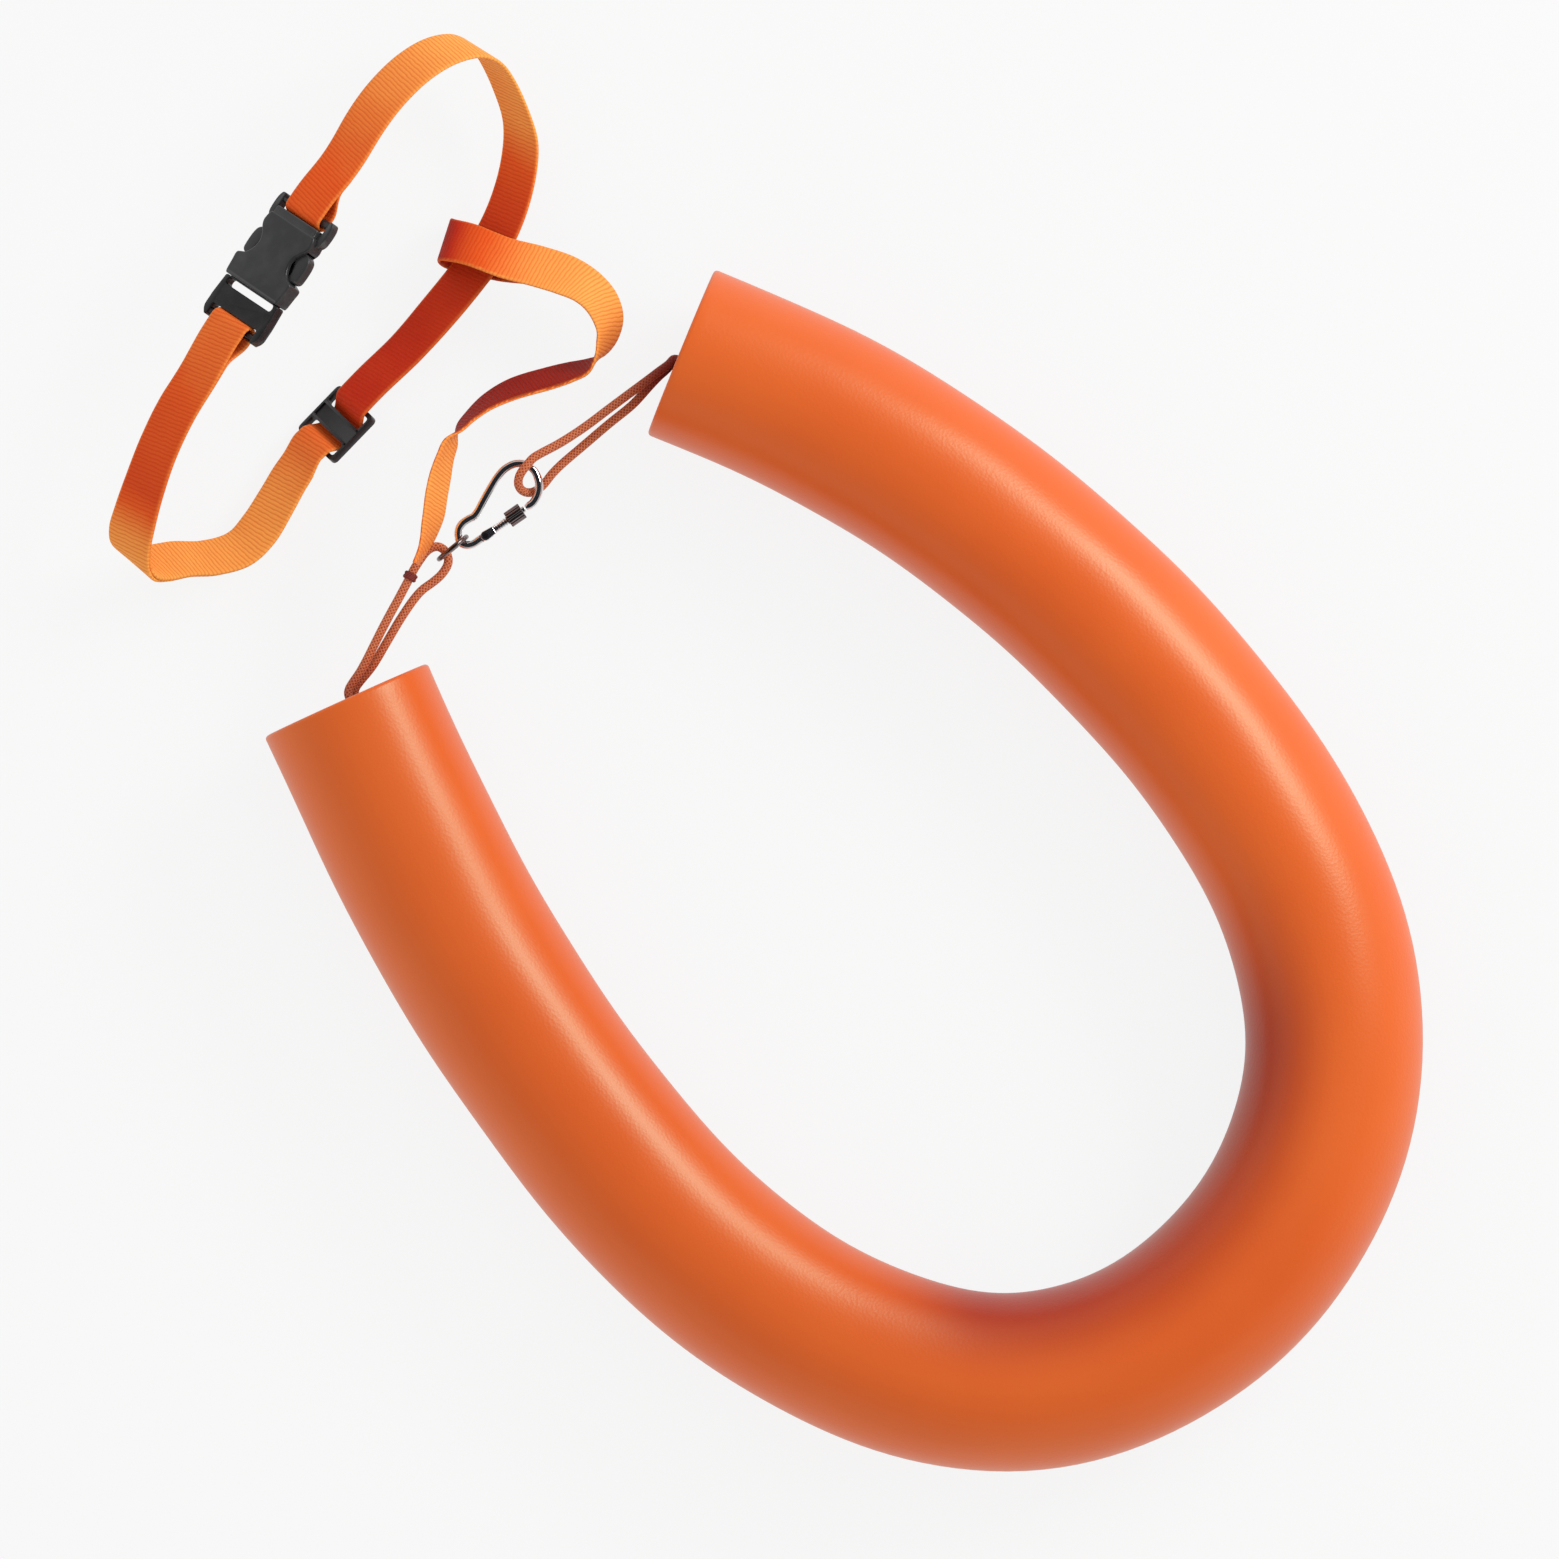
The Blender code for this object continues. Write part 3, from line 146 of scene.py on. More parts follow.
def frameMatrix(origin, xAxis, yAxis):
    xAxis = xAxis.normalized()
    zAxis = xAxis.cross(yAxis).normalized()
    turn = Matrix((xAxis, zAxis.cross(xAxis), zAxis)).transposed()
    return Matrix.Translation(origin) @ turn.to_4x4()


def boxMiddle(node):
    low, high = (Vector(corner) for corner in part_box(node))
    return (low + high) / 2


ringBack = picture["ringInner"] / 2 - picture["snapWire"] / 2 - picture["strapGap"]
ringAway = heading(picture["ringDirection"])
snapNoseSpot = place(*picture["snapNose"], picture["cordHeight"])
layoutShift = boxMiddle("link_ring") - snapNoseSpot + ringAway * ringBack
layoutShift.z = 0
pictureRight = heading(0)
pictureUp = heading(-90)
print("layout laid over the frame, one pixel is", round(pixelSize * 1000, 4), "mm")


# Camera, straight above
cameraSetup = {"lens": 400, "sensor": 36, "clipEnd": 50}
middle = place(picture["size"] / 2, picture["size"] / 2, picture["cordHeight"])
cameraFar = picture["size"] * pixelSize / 2 / (cameraSetup["sensor"] / 2 / cameraSetup["lens"])
bpy.ops.object.camera_add(location=middle + Vector((0, 0, cameraFar)))
camera = bpy.context.object
camera.name = "camera"
camera.matrix_world = Matrix.Translation(camera.location) @ Matrix(
    (pictureRight, pictureUp, Vector((0, 0, 1)))).transposed().to_4x4()
camera.data.lens = cameraSetup["lens"]
camera.data.sensor_width = cameraSetup["sensor"]
camera.data.clip_end = cameraSetup["clipEnd"]
bpy.context.scene.camera = camera


# Tools that the pieces share
mergeDistance = 0.000001


def deselectAll():
    if bpy.context.object and bpy.context.object.mode != "OBJECT":
        bpy.ops.object.mode_set(mode="OBJECT")
    bpy.ops.object.select_all(action="DESELECT")


def selectOnly(piece):
    deselectAll()
    piece.select_set(True)
    bpy.context.view_layer.objects.active = piece


def nameIt(piece, name):
    piece.name = name
    piece.data.name = name
    return piece


def smoothShade(piece, degrees):
    selectOnly(piece)
    bpy.ops.object.shade_smooth_by_angle(angle=math.radians(degrees))
    return piece


def applyAll(piece):
    selectOnly(piece)
    for modifier in list(piece.modifiers):
        bpy.ops.object.modifier_apply(modifier=modifier.name)
    return piece


def sweptGrid(name, rings, uvAcross, loop=False, degrees=40):
    # a grid laid over rings of points, closed round its way, with its UV map in metres
    rings = np.array(rings)
    rings = np.concatenate([rings, rings[:, :1]], axis=1)
    if loop:
        rings = np.concatenate([rings, rings[:1]], axis=0)
    count, width = rings.shape[:2]
    deselectAll()
    bpy.ops.mesh.primitive_grid_add(x_subdivisions=width - 1, y_subdivisions=count - 1, size=1)
    piece = nameIt(bpy.context.object, name)
    piece.data.vertices.foreach_set("co", rings.reshape(-1))
    walked = walkedLengths(rings.mean(axis=1))
    uvPair = np.broadcast_arrays(np.array(uvAcross)[None, :width], walked[:, None])
    uvs = np.stack(uvPair, axis=2).reshape(-1, 2)
    corners = np.zeros(len(piece.data.loops), int)
    piece.data.loops.foreach_get("vertex_index", corners)
    piece.data.uv_layers[0].data.foreach_set("uv", uvs[corners].reshape(-1))
    bpy.ops.object.mode_set(mode="EDIT")
    bpy.ops.mesh.select_all(action="SELECT")
    bpy.ops.mesh.remove_doubles(threshold=mergeDistance)
    bpy.ops.mesh.select_all(action="SELECT")
    bpy.ops.mesh.fill_holes(sides=0)
    bpy.ops.mesh.select_all(action="SELECT")
    bpy.ops.mesh.normals_make_consistent(inside=False)
    bpy.ops.object.mode_set(mode="OBJECT")
    return smoothShade(piece, degrees)


def ringShares(sides):
    return [(math.cos(2 * math.pi * k / sides), math.sin(2 * math.pi * k / sides)) for k in range(sides)]


def sweptTube(name, points, radius, sides, loop=False, degrees=60):
    # a round tube along points; radius is one value or one for each point
    points = np.array([tuple(point) for point in points])
    radii = np.broadcast_to(radius, len(points))
    side = None
    rings = []
    for i, point in enumerate(points):
        before = points[i - 1] if loop else points[max(i - 1, 0)]
        after = points[(i + 1) % len(points)] if loop else points[min(i + 1, len(points) - 1)]
        forward = Vector(after - before).normalized()
        if side is None:
            helper = Vector((0, 0, 1)) if abs(forward.z) < 0.8 else Vector((1, 0, 0))
            side = forward.cross(helper)
        side = (side - forward * side.dot(forward)).normalized()
        up = forward.cross(side)
        rings.append([Vector(point) + (side * x + up * y) * radii[i] for x, y in ringShares(sides)])
    girth = 2 * math.pi * float(max(radii))
    return sweptGrid(name, rings, [girth * k / sides for k in range(sides + 1)], loop=loop, degrees=degrees)


def plate(name, outline, low, high):
    # an outline of points in X and Y, filled and extruded along Z
    deselectAll()
    bpy.ops.mesh.primitive_circle_add(vertices=len(outline), fill_type="NGON", radius=0.01)
    piece = nameIt(bpy.context.object, name)
    for vertex, (x, y) in zip(piece.data.vertices, outline):
        vertex.co = (x, y, low)
    bpy.ops.object.mode_set(mode="EDIT")
    bpy.ops.mesh.select_all(action="SELECT")
    bpy.ops.mesh.extrude_region_move(TRANSFORM_OT_translate={"value": (0, 0, high - low)})
    bpy.ops.mesh.select_all(action="SELECT")
    bpy.ops.mesh.normals_make_consistent(inside=False)
    bpy.ops.object.mode_set(mode="OBJECT")
    return piece


def cutWith(piece, tool, operation="DIFFERENCE"):
    modifier = piece.modifiers.new(tool.name, "BOOLEAN")
    modifier.operation = operation
    modifier.object = tool
    selectOnly(piece)
    bpy.ops.object.modifier_apply(modifier=modifier.name)
    bpy.data.objects.remove(tool, do_unlink=True)


def bevelled(piece, width, segments=3, degrees=35):
    selectOnly(piece)
    modifier = piece.modifiers.new("rounded", "BEVEL")
    modifier.width = width
    modifier.segments = segments
    modifier.limit_method = "ANGLE"
    modifier.angle_limit = math.radians(degrees)
    modifier.use_clamp_overlap = True
    return applyAll(piece)


def roundedOutline(points, radius, steps=4):
    # the outline with each corner turned by an arc-like curve
    rounded = []
    count = len(points)
    for i in range(count):
        corner = Vector(points[i])
        before = Vector(points[i - 1]) - corner
        after = Vector(points[(i + 1) % count]) - corner
        reach = min(radius, before.length * 0.45, after.length * 0.45)
        start = corner + before.normalized() * reach
        end = corner + after.normalized() * reach
        for k in range(steps + 1):
            t = k / steps
            rounded.append(tuple(start * (1 - t) ** 2 + corner * 2 * t * (1 - t) + end * t**2))
    return rounded


def boxOutline(low, high, half):
    return [(low, -half), (high, -half), (high, half), (low, half)]


def mirroredOutline(half):
    return list(half) + [(x, -y) for x, y in half[::-1]]


def scaledOutline(shares, start, length, half):
    return [(start + length * along, half * out) for along, out in shares]


def settle(piece, matrix):
    # puts the place into the mesh, so that the object stays at the origin
    piece.data.transform(matrix)
    piece.data.update()
    return piece


# Shader groups
def newGroup(name, inputs, outputs):
    group = bpy.data.node_groups.new(name, "ShaderNodeTree")
    for label, value in inputs:
        kind = "NodeSocketVector" if label in ("UV", "Vector") else "NodeSocketFloat"
        group.interface.new_socket(name=label, in_out="INPUT", socket_type=kind).default_value = value
    for label in outputs:
        group.interface.new_socket(name=label, in_out="OUTPUT", socket_type="NodeSocketFloat")
    return group, group.nodes.new("NodeGroupInput"), group.nodes.new("NodeGroupOutput")


def finishGroup(group, end, **sources):
    for label, source in sources.items():
        group.links.new(source, end.inputs[label])
    return group


def addNode(tree, kind, links=(), **values):
    # a node, its plain properties, and its inputs linked or set by number or name
    node = tree.nodes.new(kind)
    for key, value in values.items():
        setattr(node, key, value)
    for socket, source in links:
        if hasattr(source, "is_output"):
            tree.links.new(source, node.inputs[socket])
        else:
            node.inputs[socket].default_value = source
    return node


def maths(tree, operation, *sources):
    return addNode(tree, "ShaderNodeMath", list(enumerate(sources)), operation=operation).outputs[0]


def blendColour(tree, factor, first, second):
    links = [(0, factor), (6, first), (7, second)]
    return addNode(tree, "ShaderNodeMix", links, data_type="RGBA").outputs[2]


def ramp(tree, source, low, high, lowTo=0.0, highTo=1.0):
    node = addNode(tree, "ShaderNodeMapRange", [(0, source), (1, low), (2, high), (3, lowTo), (4, highTo)])
    return node.outputs[0]


def noise(tree, vector, scale, detail):
    links = [("Vector", vector), ("Scale", scale), ("Detail", detail)]
    return addNode(tree, "ShaderNodeTexNoise", links).outputs[0]


def turnsAlong(tree, length, pitch, turns=1):
    # an angle that makes these turns over each pitch of the length
    return maths(tree, "DIVIDE", maths(tree, "MULTIPLY", length, 2 * math.pi * turns), pitch)


def wave(tree, length, pitch):
    return ramp(tree, maths(tree, "SINE", turnsAlong(tree, length, pitch)), -1.0, 1.0)


def buildWebbingGroup():
    # cross ribs and lengthwise warp threads of woven webbing, from a UV map in metres
    look = {
        "swayScale": 260.0, "sway": 0.0011, "lean": 0.16, "mottleScale": 55.0, "rib": 0.85, "warp": 0.15,
    }
    group, start, end = newGroup("webbing weave", [
        ("UV", (0, 0, 0)), ("Rib pitch", 0.0013), ("Warp pitch", 0.0011), ("Half width", 0.01),
    ], ["Rib", "Selvedge", "Mottle", "Height"])
    uv = start.outputs["UV"]
    parts = addNode(group, "ShaderNodeSeparateXYZ", [(0, uv)])
    across = parts.outputs[0]
    sway = maths(group, "SUBTRACT", noise(group, uv, look["swayScale"], 2.0), 0.5)
    along = maths(group, "ADD", parts.outputs[1], maths(group, "MULTIPLY", sway, look["sway"]))
    along = maths(group, "ADD", along, maths(group, "MULTIPLY", across, look["lean"]))
    rib = wave(group, along, start.outputs["Rib pitch"])
    warp = wave(group, across, start.outputs["Warp pitch"])
    edge = maths(group, "DIVIDE", maths(group, "ABSOLUTE", across), start.outputs["Half width"])
    selvedge = ramp(group, edge, 0.86, 0.97)
    mottle = noise(group, uv, look["mottleScale"], 4.0)
    ribHeight = maths(group, "MULTIPLY", rib, look["rib"])
    height = maths(group, "ADD", ribHeight, maths(group, "MULTIPLY", warp, look["warp"]))
    return finishGroup(group, end, Rib=rib, Selvedge=selvedge, Mottle=mottle, Height=height)


def buildBraidGroup():
    # the crossing strands of a braided cord, from a UV map in metres
    look = {"turnsInLay": 4, "fuzzScale": 900.0, "strand": 0.8, "fuzz": 0.2}
    group, start, end = newGroup("cord braid", [
        ("UV", (0, 0, 0)), ("Girth", 0.011), ("Strands", 6.0), ("Lay", 0.006),
    ], ["Strand", "Fuzz", "Height"])
    uv = start.outputs["UV"]
    parts = addNode(group, "ShaderNodeSeparateXYZ", [(0, uv)])
    around = turnsAlong(group, parts.outputs[0], start.outputs["Girth"])
    around = maths(group, "MULTIPLY", around, start.outputs["Strands"])
    along = turnsAlong(group, parts.outputs[1], start.outputs["Lay"], look["turnsInLay"])
    left = maths(group, "SINE", maths(group, "ADD", around, along))
    right = maths(group, "SINE", maths(group, "SUBTRACT", around, along))
    strand = ramp(group, maths(group, "MAXIMUM", left, right), -0.2, 1.0)
    fuzz = noise(group, uv, look["fuzzScale"], 3.0)
    strandHeight = maths(group, "MULTIPLY", strand, look["strand"])
    height = maths(group, "ADD", strandHeight, maths(group, "MULTIPLY", fuzz, look["fuzz"]))
    return finishGroup(group, end, Strand=strand, Fuzz=fuzz, Height=height)


def buildSurfaceGroup():
    # fine grain, slow patches and worn edges of a hard or foamed surface
    group, start, end = newGroup("surface grain", [
        ("Vector", (0, 0, 0)), ("Grain scale", 900.0), ("Patch scale", 30.0),
    ], ["Grain", "Patch", "Edge"])
    where = start.outputs["Vector"]
    grain = noise(group, where, start.outputs["Grain scale"], 3.0)
    patch = noise(group, where, start.outputs["Patch scale"], 4.0)
    form = group.nodes.new("ShaderNodeNewGeometry")
    edge = ramp(group, form.outputs["Pointiness"], 0.52, 0.62)
    return finishGroup(group, end, Grain=grain, Patch=patch, Edge=edge)


webbingGroup = buildWebbingGroup()
braidGroup = buildBraidGroup()
surfaceGroup = buildSurfaceGroup()


def newMaterial(name, **sockets):
    material = bpy.data.materials.new(name)
    material.use_nodes = True
    tree = material.node_tree
    shader = tree.nodes["Principled BSDF"]
    for key, value in sockets.items():
        shader.inputs[key].default_value = value
    return material, tree, shader


def addSurfaceGrain(tree, grainScale, patchScale):
    where = tree.nodes.new("ShaderNodeTexCoord").outputs["Object"]
    links = [("Vector", where), ("Grain scale", grainScale), ("Patch scale", patchScale)]
    return where, addNode(tree, "ShaderNodeGroup", links, node_tree=surfaceGroup).outputs


# reads the painted light and shade that paint() puts on a piece
def paintedShadingOf(tree):
    return addNode(tree, "ShaderNodeAttribute", attribute_name="paintedShading").outputs["Fac"]


def addBump(tree, shader, height, strength, distance):
    links = [("Strength", strength), ("Distance", distance), ("Height", height)]
    tree.links.new(addNode(tree, "ShaderNodeBump", links).outputs[0], shader.inputs["Normal"])


def makeFoamMaterial():
    look = {
        "deep": (0.70, 0.088, 0.001, 1), "bright": (0.74, 0.106, 0.002, 1),
        "bendShade": (0.36, 0.010, 0.001, 1), "cell": 1400, "pore": 0.6, "patch": 9, "swell": 6.0,
    }
    material, tree, shader = newMaterial("orange foam skin", **{
        "Roughness": 0.38, "Specular IOR Level": 0.75, "Specular Tint": (0.5, 1.0, 0.75, 1),
    })
    where, grain = addSurfaceGrain(tree, look["cell"], look["patch"])
    colour = blendColour(tree, ramp(tree, grain["Patch"], 0.3, 0.7), look["deep"], look["bright"])
    # painted shade on the inner side of the bends darkens the colour
    tree.links.new(blendColour(tree, paintedShadingOf(tree), colour, look["bendShade"]), shader.inputs["Base Color"])
    tree.links.new(ramp(tree, grain["Patch"], 0.25, 0.75, 0.35, 0.41), shader.inputs["Roughness"])
    pores = [("Vector", where), ("Scale", look["cell"] * look["pore"])]
    cells = addNode(tree, "ShaderNodeTexVoronoi", pores).outputs[0]
    height = maths(tree, "ADD", cells, maths(tree, "MULTIPLY", grain["Patch"], look["swell"]))
    addBump(tree, shader, height, 0.10, 0.0004)
    return material


def makeWebbingMaterial():
    look = {
        "dark": (0.26, 0.007, 0.001, 1), "deep": (0.52, 0.022, 0.002, 1), "plain": (0.76, 0.098, 0.009, 1),
        "light": (0.93, 0.38, 0.075, 1), "rib": 0.0016, "warp": 0.0013, "mottle": 0.16, "selvedge": 0.18,
    }
    material, tree, shader = newMaterial("orange webbing", **{
        "Roughness": 0.72, "Specular IOR Level": 0.18,
    })
    uv = tree.nodes.new("ShaderNodeUVMap").outputs[0]
    weave = addNode(tree, "ShaderNodeGroup", [
        ("UV", uv), ("Rib pitch", look["rib"]), ("Warp pitch", look["warp"]), ("Half width", 0.01),
    ], node_tree=webbingGroup).outputs
    mottle = maths(tree, "MULTIPLY", maths(tree, "SUBTRACT", weave["Mottle"], 0.5), look["mottle"])
    # painted light and shade along the strap, with a random mottle, picks the colour
    shade = maths(tree, "ADD", paintedShadingOf(tree), mottle)
    lowest = blendColour(tree, ramp(tree, shade, -0.5, 0.0), look["dark"], look["deep"])
    low = blendColour(tree, ramp(tree, shade, 0.0, 0.5), lowest, look["plain"])
    colour = blendColour(tree, ramp(tree, shade, 0.5, 1.0), low, look["light"])
    gapShade = blendColour(tree, ramp(tree, weave["Rib"], 0.0, 0.5, 0.40, 0.0), colour, look["deep"])
    selvedge = maths(tree, "MULTIPLY", weave["Selvedge"], look["selvedge"])
    tree.links.new(blendColour(tree, selvedge, gapShade, look["light"]), shader.inputs["Base Color"])
    tree.links.new(ramp(tree, weave["Rib"], 0.0, 1.0, 0.82, 0.62), shader.inputs["Roughness"])
    addBump(tree, shader, weave["Height"], 0.42, 0.00018)
    return material


def makeCordMaterial():
    look = {
        "deep": (0.32, 0.040, 0.012, 1), "light": (0.70, 0.20, 0.075, 1), "pale": (0.80, 0.36, 0.17, 1),
        "end": (0.17, 0.004, 0.003, 1),
    }
    material, tree, shader = newMaterial("braided cord", **{
        "Roughness": 0.65, "Specular IOR Level": 0.35, "Sheen Weight": 0.2,
        "Sheen Tint": (1.0, 0.8, 0.65, 1),
    })
    uv = tree.nodes.new("ShaderNodeUVMap").outputs[0]
    braid = addNode(tree, "ShaderNodeGroup", [
        ("UV", uv), ("Girth", 0.011), ("Strands", 6.0), ("Lay", 0.006),
    ], node_tree=braidGroup).outputs
    colour = blendColour(tree, braid["Strand"], look["deep"], look["light"])
    frayed = blendColour(tree, ramp(tree, braid["Fuzz"], 0.55, 0.75, 0.0, 0.4), colour, look["pale"])
    # painted shade darkens the cord towards its ends at the foam
    tree.links.new(blendColour(tree, paintedShadingOf(tree), frayed, look["end"]), shader.inputs["Base Color"])
    tree.links.new(ramp(tree, braid["Fuzz"], 0.3, 0.7, 0.55, 0.75), shader.inputs["Roughness"])
    addBump(tree, shader, braid["Height"], 0.6, 0.0003)
    return material


def makeBandMaterial():
    look = {"deep": (0.10, 0.006, 0.004, 1), "light": (0.30, 0.030, 0.018, 1), "wrap": 0.0006}
    material, tree, shader = newMaterial("stitched band", Roughness=0.7)
    uv = tree.nodes.new("ShaderNodeUVMap").outputs[0]
    wraps = wave(tree, addNode(tree, "ShaderNodeSeparateXYZ", [(0, uv)]).outputs[1], look["wrap"])
    tree.links.new(blendColour(tree, wraps, look["deep"], look["light"]), shader.inputs["Base Color"])
    addBump(tree, shader, wraps, 0.6, 0.0002)
    return material


def makePlasticMaterial(name, base, worn):
    look = {"grain": 2600.0, "patch": 120.0, "patchWear": 0.25, "edgeWear": 0.6}
    material, tree, shader = newMaterial(name, **{
        "Roughness": 0.3, "Specular IOR Level": 0.36, "Coat Weight": 0.12, "Coat Roughness": 0.15,
    })
    _, grain = addSurfaceGrain(tree, look["grain"], look["patch"])
    patches = ramp(tree, grain["Patch"], 0.45, 0.8, 0.0, look["patchWear"])
    patched = blendColour(tree, patches, base, worn)
    edged = blendColour(tree, maths(tree, "MULTIPLY", grain["Edge"], look["edgeWear"]), patched, worn)
    tree.links.new(edged, shader.inputs["Base Color"])
    tree.links.new(ramp(tree, grain["Patch"], 0.3, 0.7, 0.27, 0.38), shader.inputs["Roughness"])
    addBump(tree, shader, grain["Grain"], 0.05, 0.0001)
    return material


def makeSteelMaterial(name, base, scuffed, smooth, rough):
    look = {"grain": 3000.0, "patch": 160.0}
    material, tree, shader = newMaterial(name, Metallic=1.0, Roughness=smooth)
    _, grain = addSurfaceGrain(tree, look["grain"], look["patch"])
    colour = blendColour(tree, ramp(tree, grain["Patch"], 0.4, 0.75), base, scuffed)
    tree.links.new(colour, shader.inputs["Base Color"])
    tree.links.new(ramp(tree, grain["Patch"], 0.3, 0.75, smooth, rough), shader.inputs["Roughness"])
    addBump(tree, shader, grain["Grain"], 0.05, 0.00005)
    return material


foamMaterial = makeFoamMaterial()
webbingMaterial = makeWebbingMaterial()
cordMaterial = makeCordMaterial()
bandMaterial = makeBandMaterial()
plasticMaterial = makePlasticMaterial(
    "charcoal plastic", (0.028, 0.028, 0.029, 1), (0.10, 0.10, 0.102, 1),
)
darkPlasticMaterial = makePlasticMaterial(
    "black plastic", (0.008, 0.007, 0.008, 1), (0.06, 0.055, 0.055, 1),
)
chromeMaterial = makeSteelMaterial(
    "polished steel", (0.92, 0.91, 0.92, 1), (0.72, 0.70, 0.70, 1), 0.06, 0.18,
)
nutMaterial = makeSteelMaterial(
    "dark fluted steel", (0.24, 0.20, 0.20, 1), (0.14, 0.11, 0.11, 1), 0.16, 0.32,
)
print("materials made")


def dress(piece, material, slot, body, *nodes):
    piece.data.materials.clear()
    piece.data.materials.append(material)
    if body:
        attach(piece, body)
    if nodes:
        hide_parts(*nodes)
    return piece


# Foam tube
foam = {
    "radius": 0.035, "bore": 0.009, "edge": 0.0016, "stations": 190, "sides": 72, "wave": 0.00022,
    "skinFrom": 0.034, "faceRadii": (0.030, 0.024, 0.018, 0.012), "boreLip": 0.0008, "bendReach": 4,
    "edgeSteps": 5, "bendShares": (0.40, 0.95), "innerShares": (-0.1, 0.95),
}


def tubeFrames(count):
    points = [place(px, py, picture["cordHeight"]) for px, py in evenSpline(tubeRoute, count)]
    centre = sum(points, Vector()) / len(points)
    frames = []
    for i, point in enumerate(points):
        forward = (points[min(i + 1, count - 1)] - points[max(i - 1, 0)]).normalized()
        inward = Vector((0, 0, 1)).cross(forward)
        if inward.dot(centre - point) < 0:
            inward = -inward
        frames.append((point, inward, forward))
    return frames


def smoothShare(values, low, high):
    share = np.clip((values - low) / (high - low), 0, 1)
    return share * share * (3 - 2 * share)


def paint(piece, values):
    # one value for each point of a swept piece, which its material reads as painted light and shade
    attribute = piece.data.attributes.new("paintedShading", "FLOAT", "POINT")
    attribute.data.foreach_set("value", values.reshape(-1).astype(float))


def makeFoamTube():
    frames = tubeFrames(foam["stations"])
    rows = []
    edge = foam["edge"]
    for end, way in ((0, 1), (len(frames) - 1, -1)):
        corner = []
        for k in range(foam["edgeSteps"] + 1):
            angle = math.pi / 2 * k / foam["edgeSteps"]
            ahead = way * edge * (1 - math.sin(angle))
            corner.append((end, ahead, foam["radius"] - edge * (1 - math.cos(angle))))
        if way > 0:
            rows += corner[::-1]
            rows += [(i, 0, foam["radius"]) for i in range(1, len(frames) - 1)]
        else:
            rows += corner
    faceRadii = foam["faceRadii"] + (foam["bore"] + foam["boreLip"],)
    rows += [(len(frames) - 1, 0, radius) for radius in faceRadii]
    rows += [(i, 0, foam["bore"]) for i in range(len(frames) - 2, 0, -1)]
    rows += [(0, 0, radius) for radius in faceRadii[::-1]]
    rings = []
    for i, ahead, radius in rows:
        point, inward, forward = frames[i]
        ring = []
        for x, y in ringShares(foam["sides"]):
            swell = foam["wave"] * math.sin(i * 0.35 + 3 * x) * math.sin(i * 0.11 + 2 * y)
            reach = radius + (swell if radius > foam["skinFrom"] else 0)
            spot = point + forward * ahead + (inward * x + Vector((0, 0, y))) * reach
            spot.z = max(spot.z, 0.0)
            ring.append(spot)
        rings.append(ring)
    girth = 2 * math.pi * foam["radius"]
    across = [girth * k / foam["sides"] for k in range(foam["sides"] + 1)]
    piece = sweptGrid("foamTube", rings, across, loop=True, degrees=50)
    # painted shade darkens the skin on the inner side where it bends most
    reach, last = foam["bendReach"], len(frames) - 1
    bends = [frames[min(i + reach, last)][2].angle(frames[max(i - reach, 0)][2]) for i in range(last + 1)]
    bends = smoothShare(np.array(bends) / max(bends), *foam["bendShares"])
    middles = np.array([tuple(point) for point, _, _ in frames])
    inwards = np.array([tuple(inward) for _, inward, _ in frames])
    spots = np.zeros(len(piece.data.vertices) * 3)
    piece.data.vertices.foreach_get("co", spots)
    spots = spots.reshape(-1, 3)
    nearest = np.argmin(((spots[:, None, :2] - middles[None, :, :2]) ** 2).sum(axis=2), axis=1)
    inner = ((spots - middles[nearest]) * inwards[nearest]).sum(axis=1) / foam["radius"]
    paint(piece, bends[nearest] * smoothShare(inner, *foam["innerShares"]))
    dress(piece, foamMaterial, "foam", "float", "foam_tube")


# Cords
# the painted shade at each end is how far it fades out from the foam, and how strong it is
cord = {
    "diameter": 0.0035, "sides": 16, "step": 0.0006, "boreSides": 12, "boreSteps": 240, "easing": 6,
    "snapInset": 0.0046, "plainInset": 0.0029, "spread": 0.0024, "rise": 0.0022, "leadShare": 0.9,
    "shadeFrom": 0.004, "snapShade": (0.034, 0.9), "plainShade": (0.022, 0.35),
}
snapCordOut = (
    (670, 363.5, 0.0022), (660.5, 370.5, 0.0023), (648, 380, 0.0024), (633.3, 390.9, 0.0025),
    (609, 409, 0.0028), (584.8, 427.2, 0.0032), (560.6, 443, 0.0037),
)
snapCordBack = (
    (559, 466.4, -0.0037), (584.8, 444.2, -0.0032), (609, 423.6, -0.0028), (633, 404, -0.0025),
    (649, 386.5, -0.0023), (658.5, 376.5, -0.0022), (667, 369, -0.0022),
)
snapCordBight = (
    (0.0432, -0.0028, 0.0040), (0.0400, -0.0025, 0.0041), (0.0374, -0.0023, 0.0039),
    (0.0346, -0.0016, 0.0030), (0.0322, 0.0002, 0.0015), (0.0314, 0.0024, -0.0002),
    (0.0320, 0.0046, -0.0020), (0.0336, 0.0062, -0.0034), (0.0358, 0.0070, -0.0041),
    (0.0382, 0.0073, -0.0043), (0.0406, 0.0072, -0.0041), (0.0432, 0.0068, -0.0039),
)
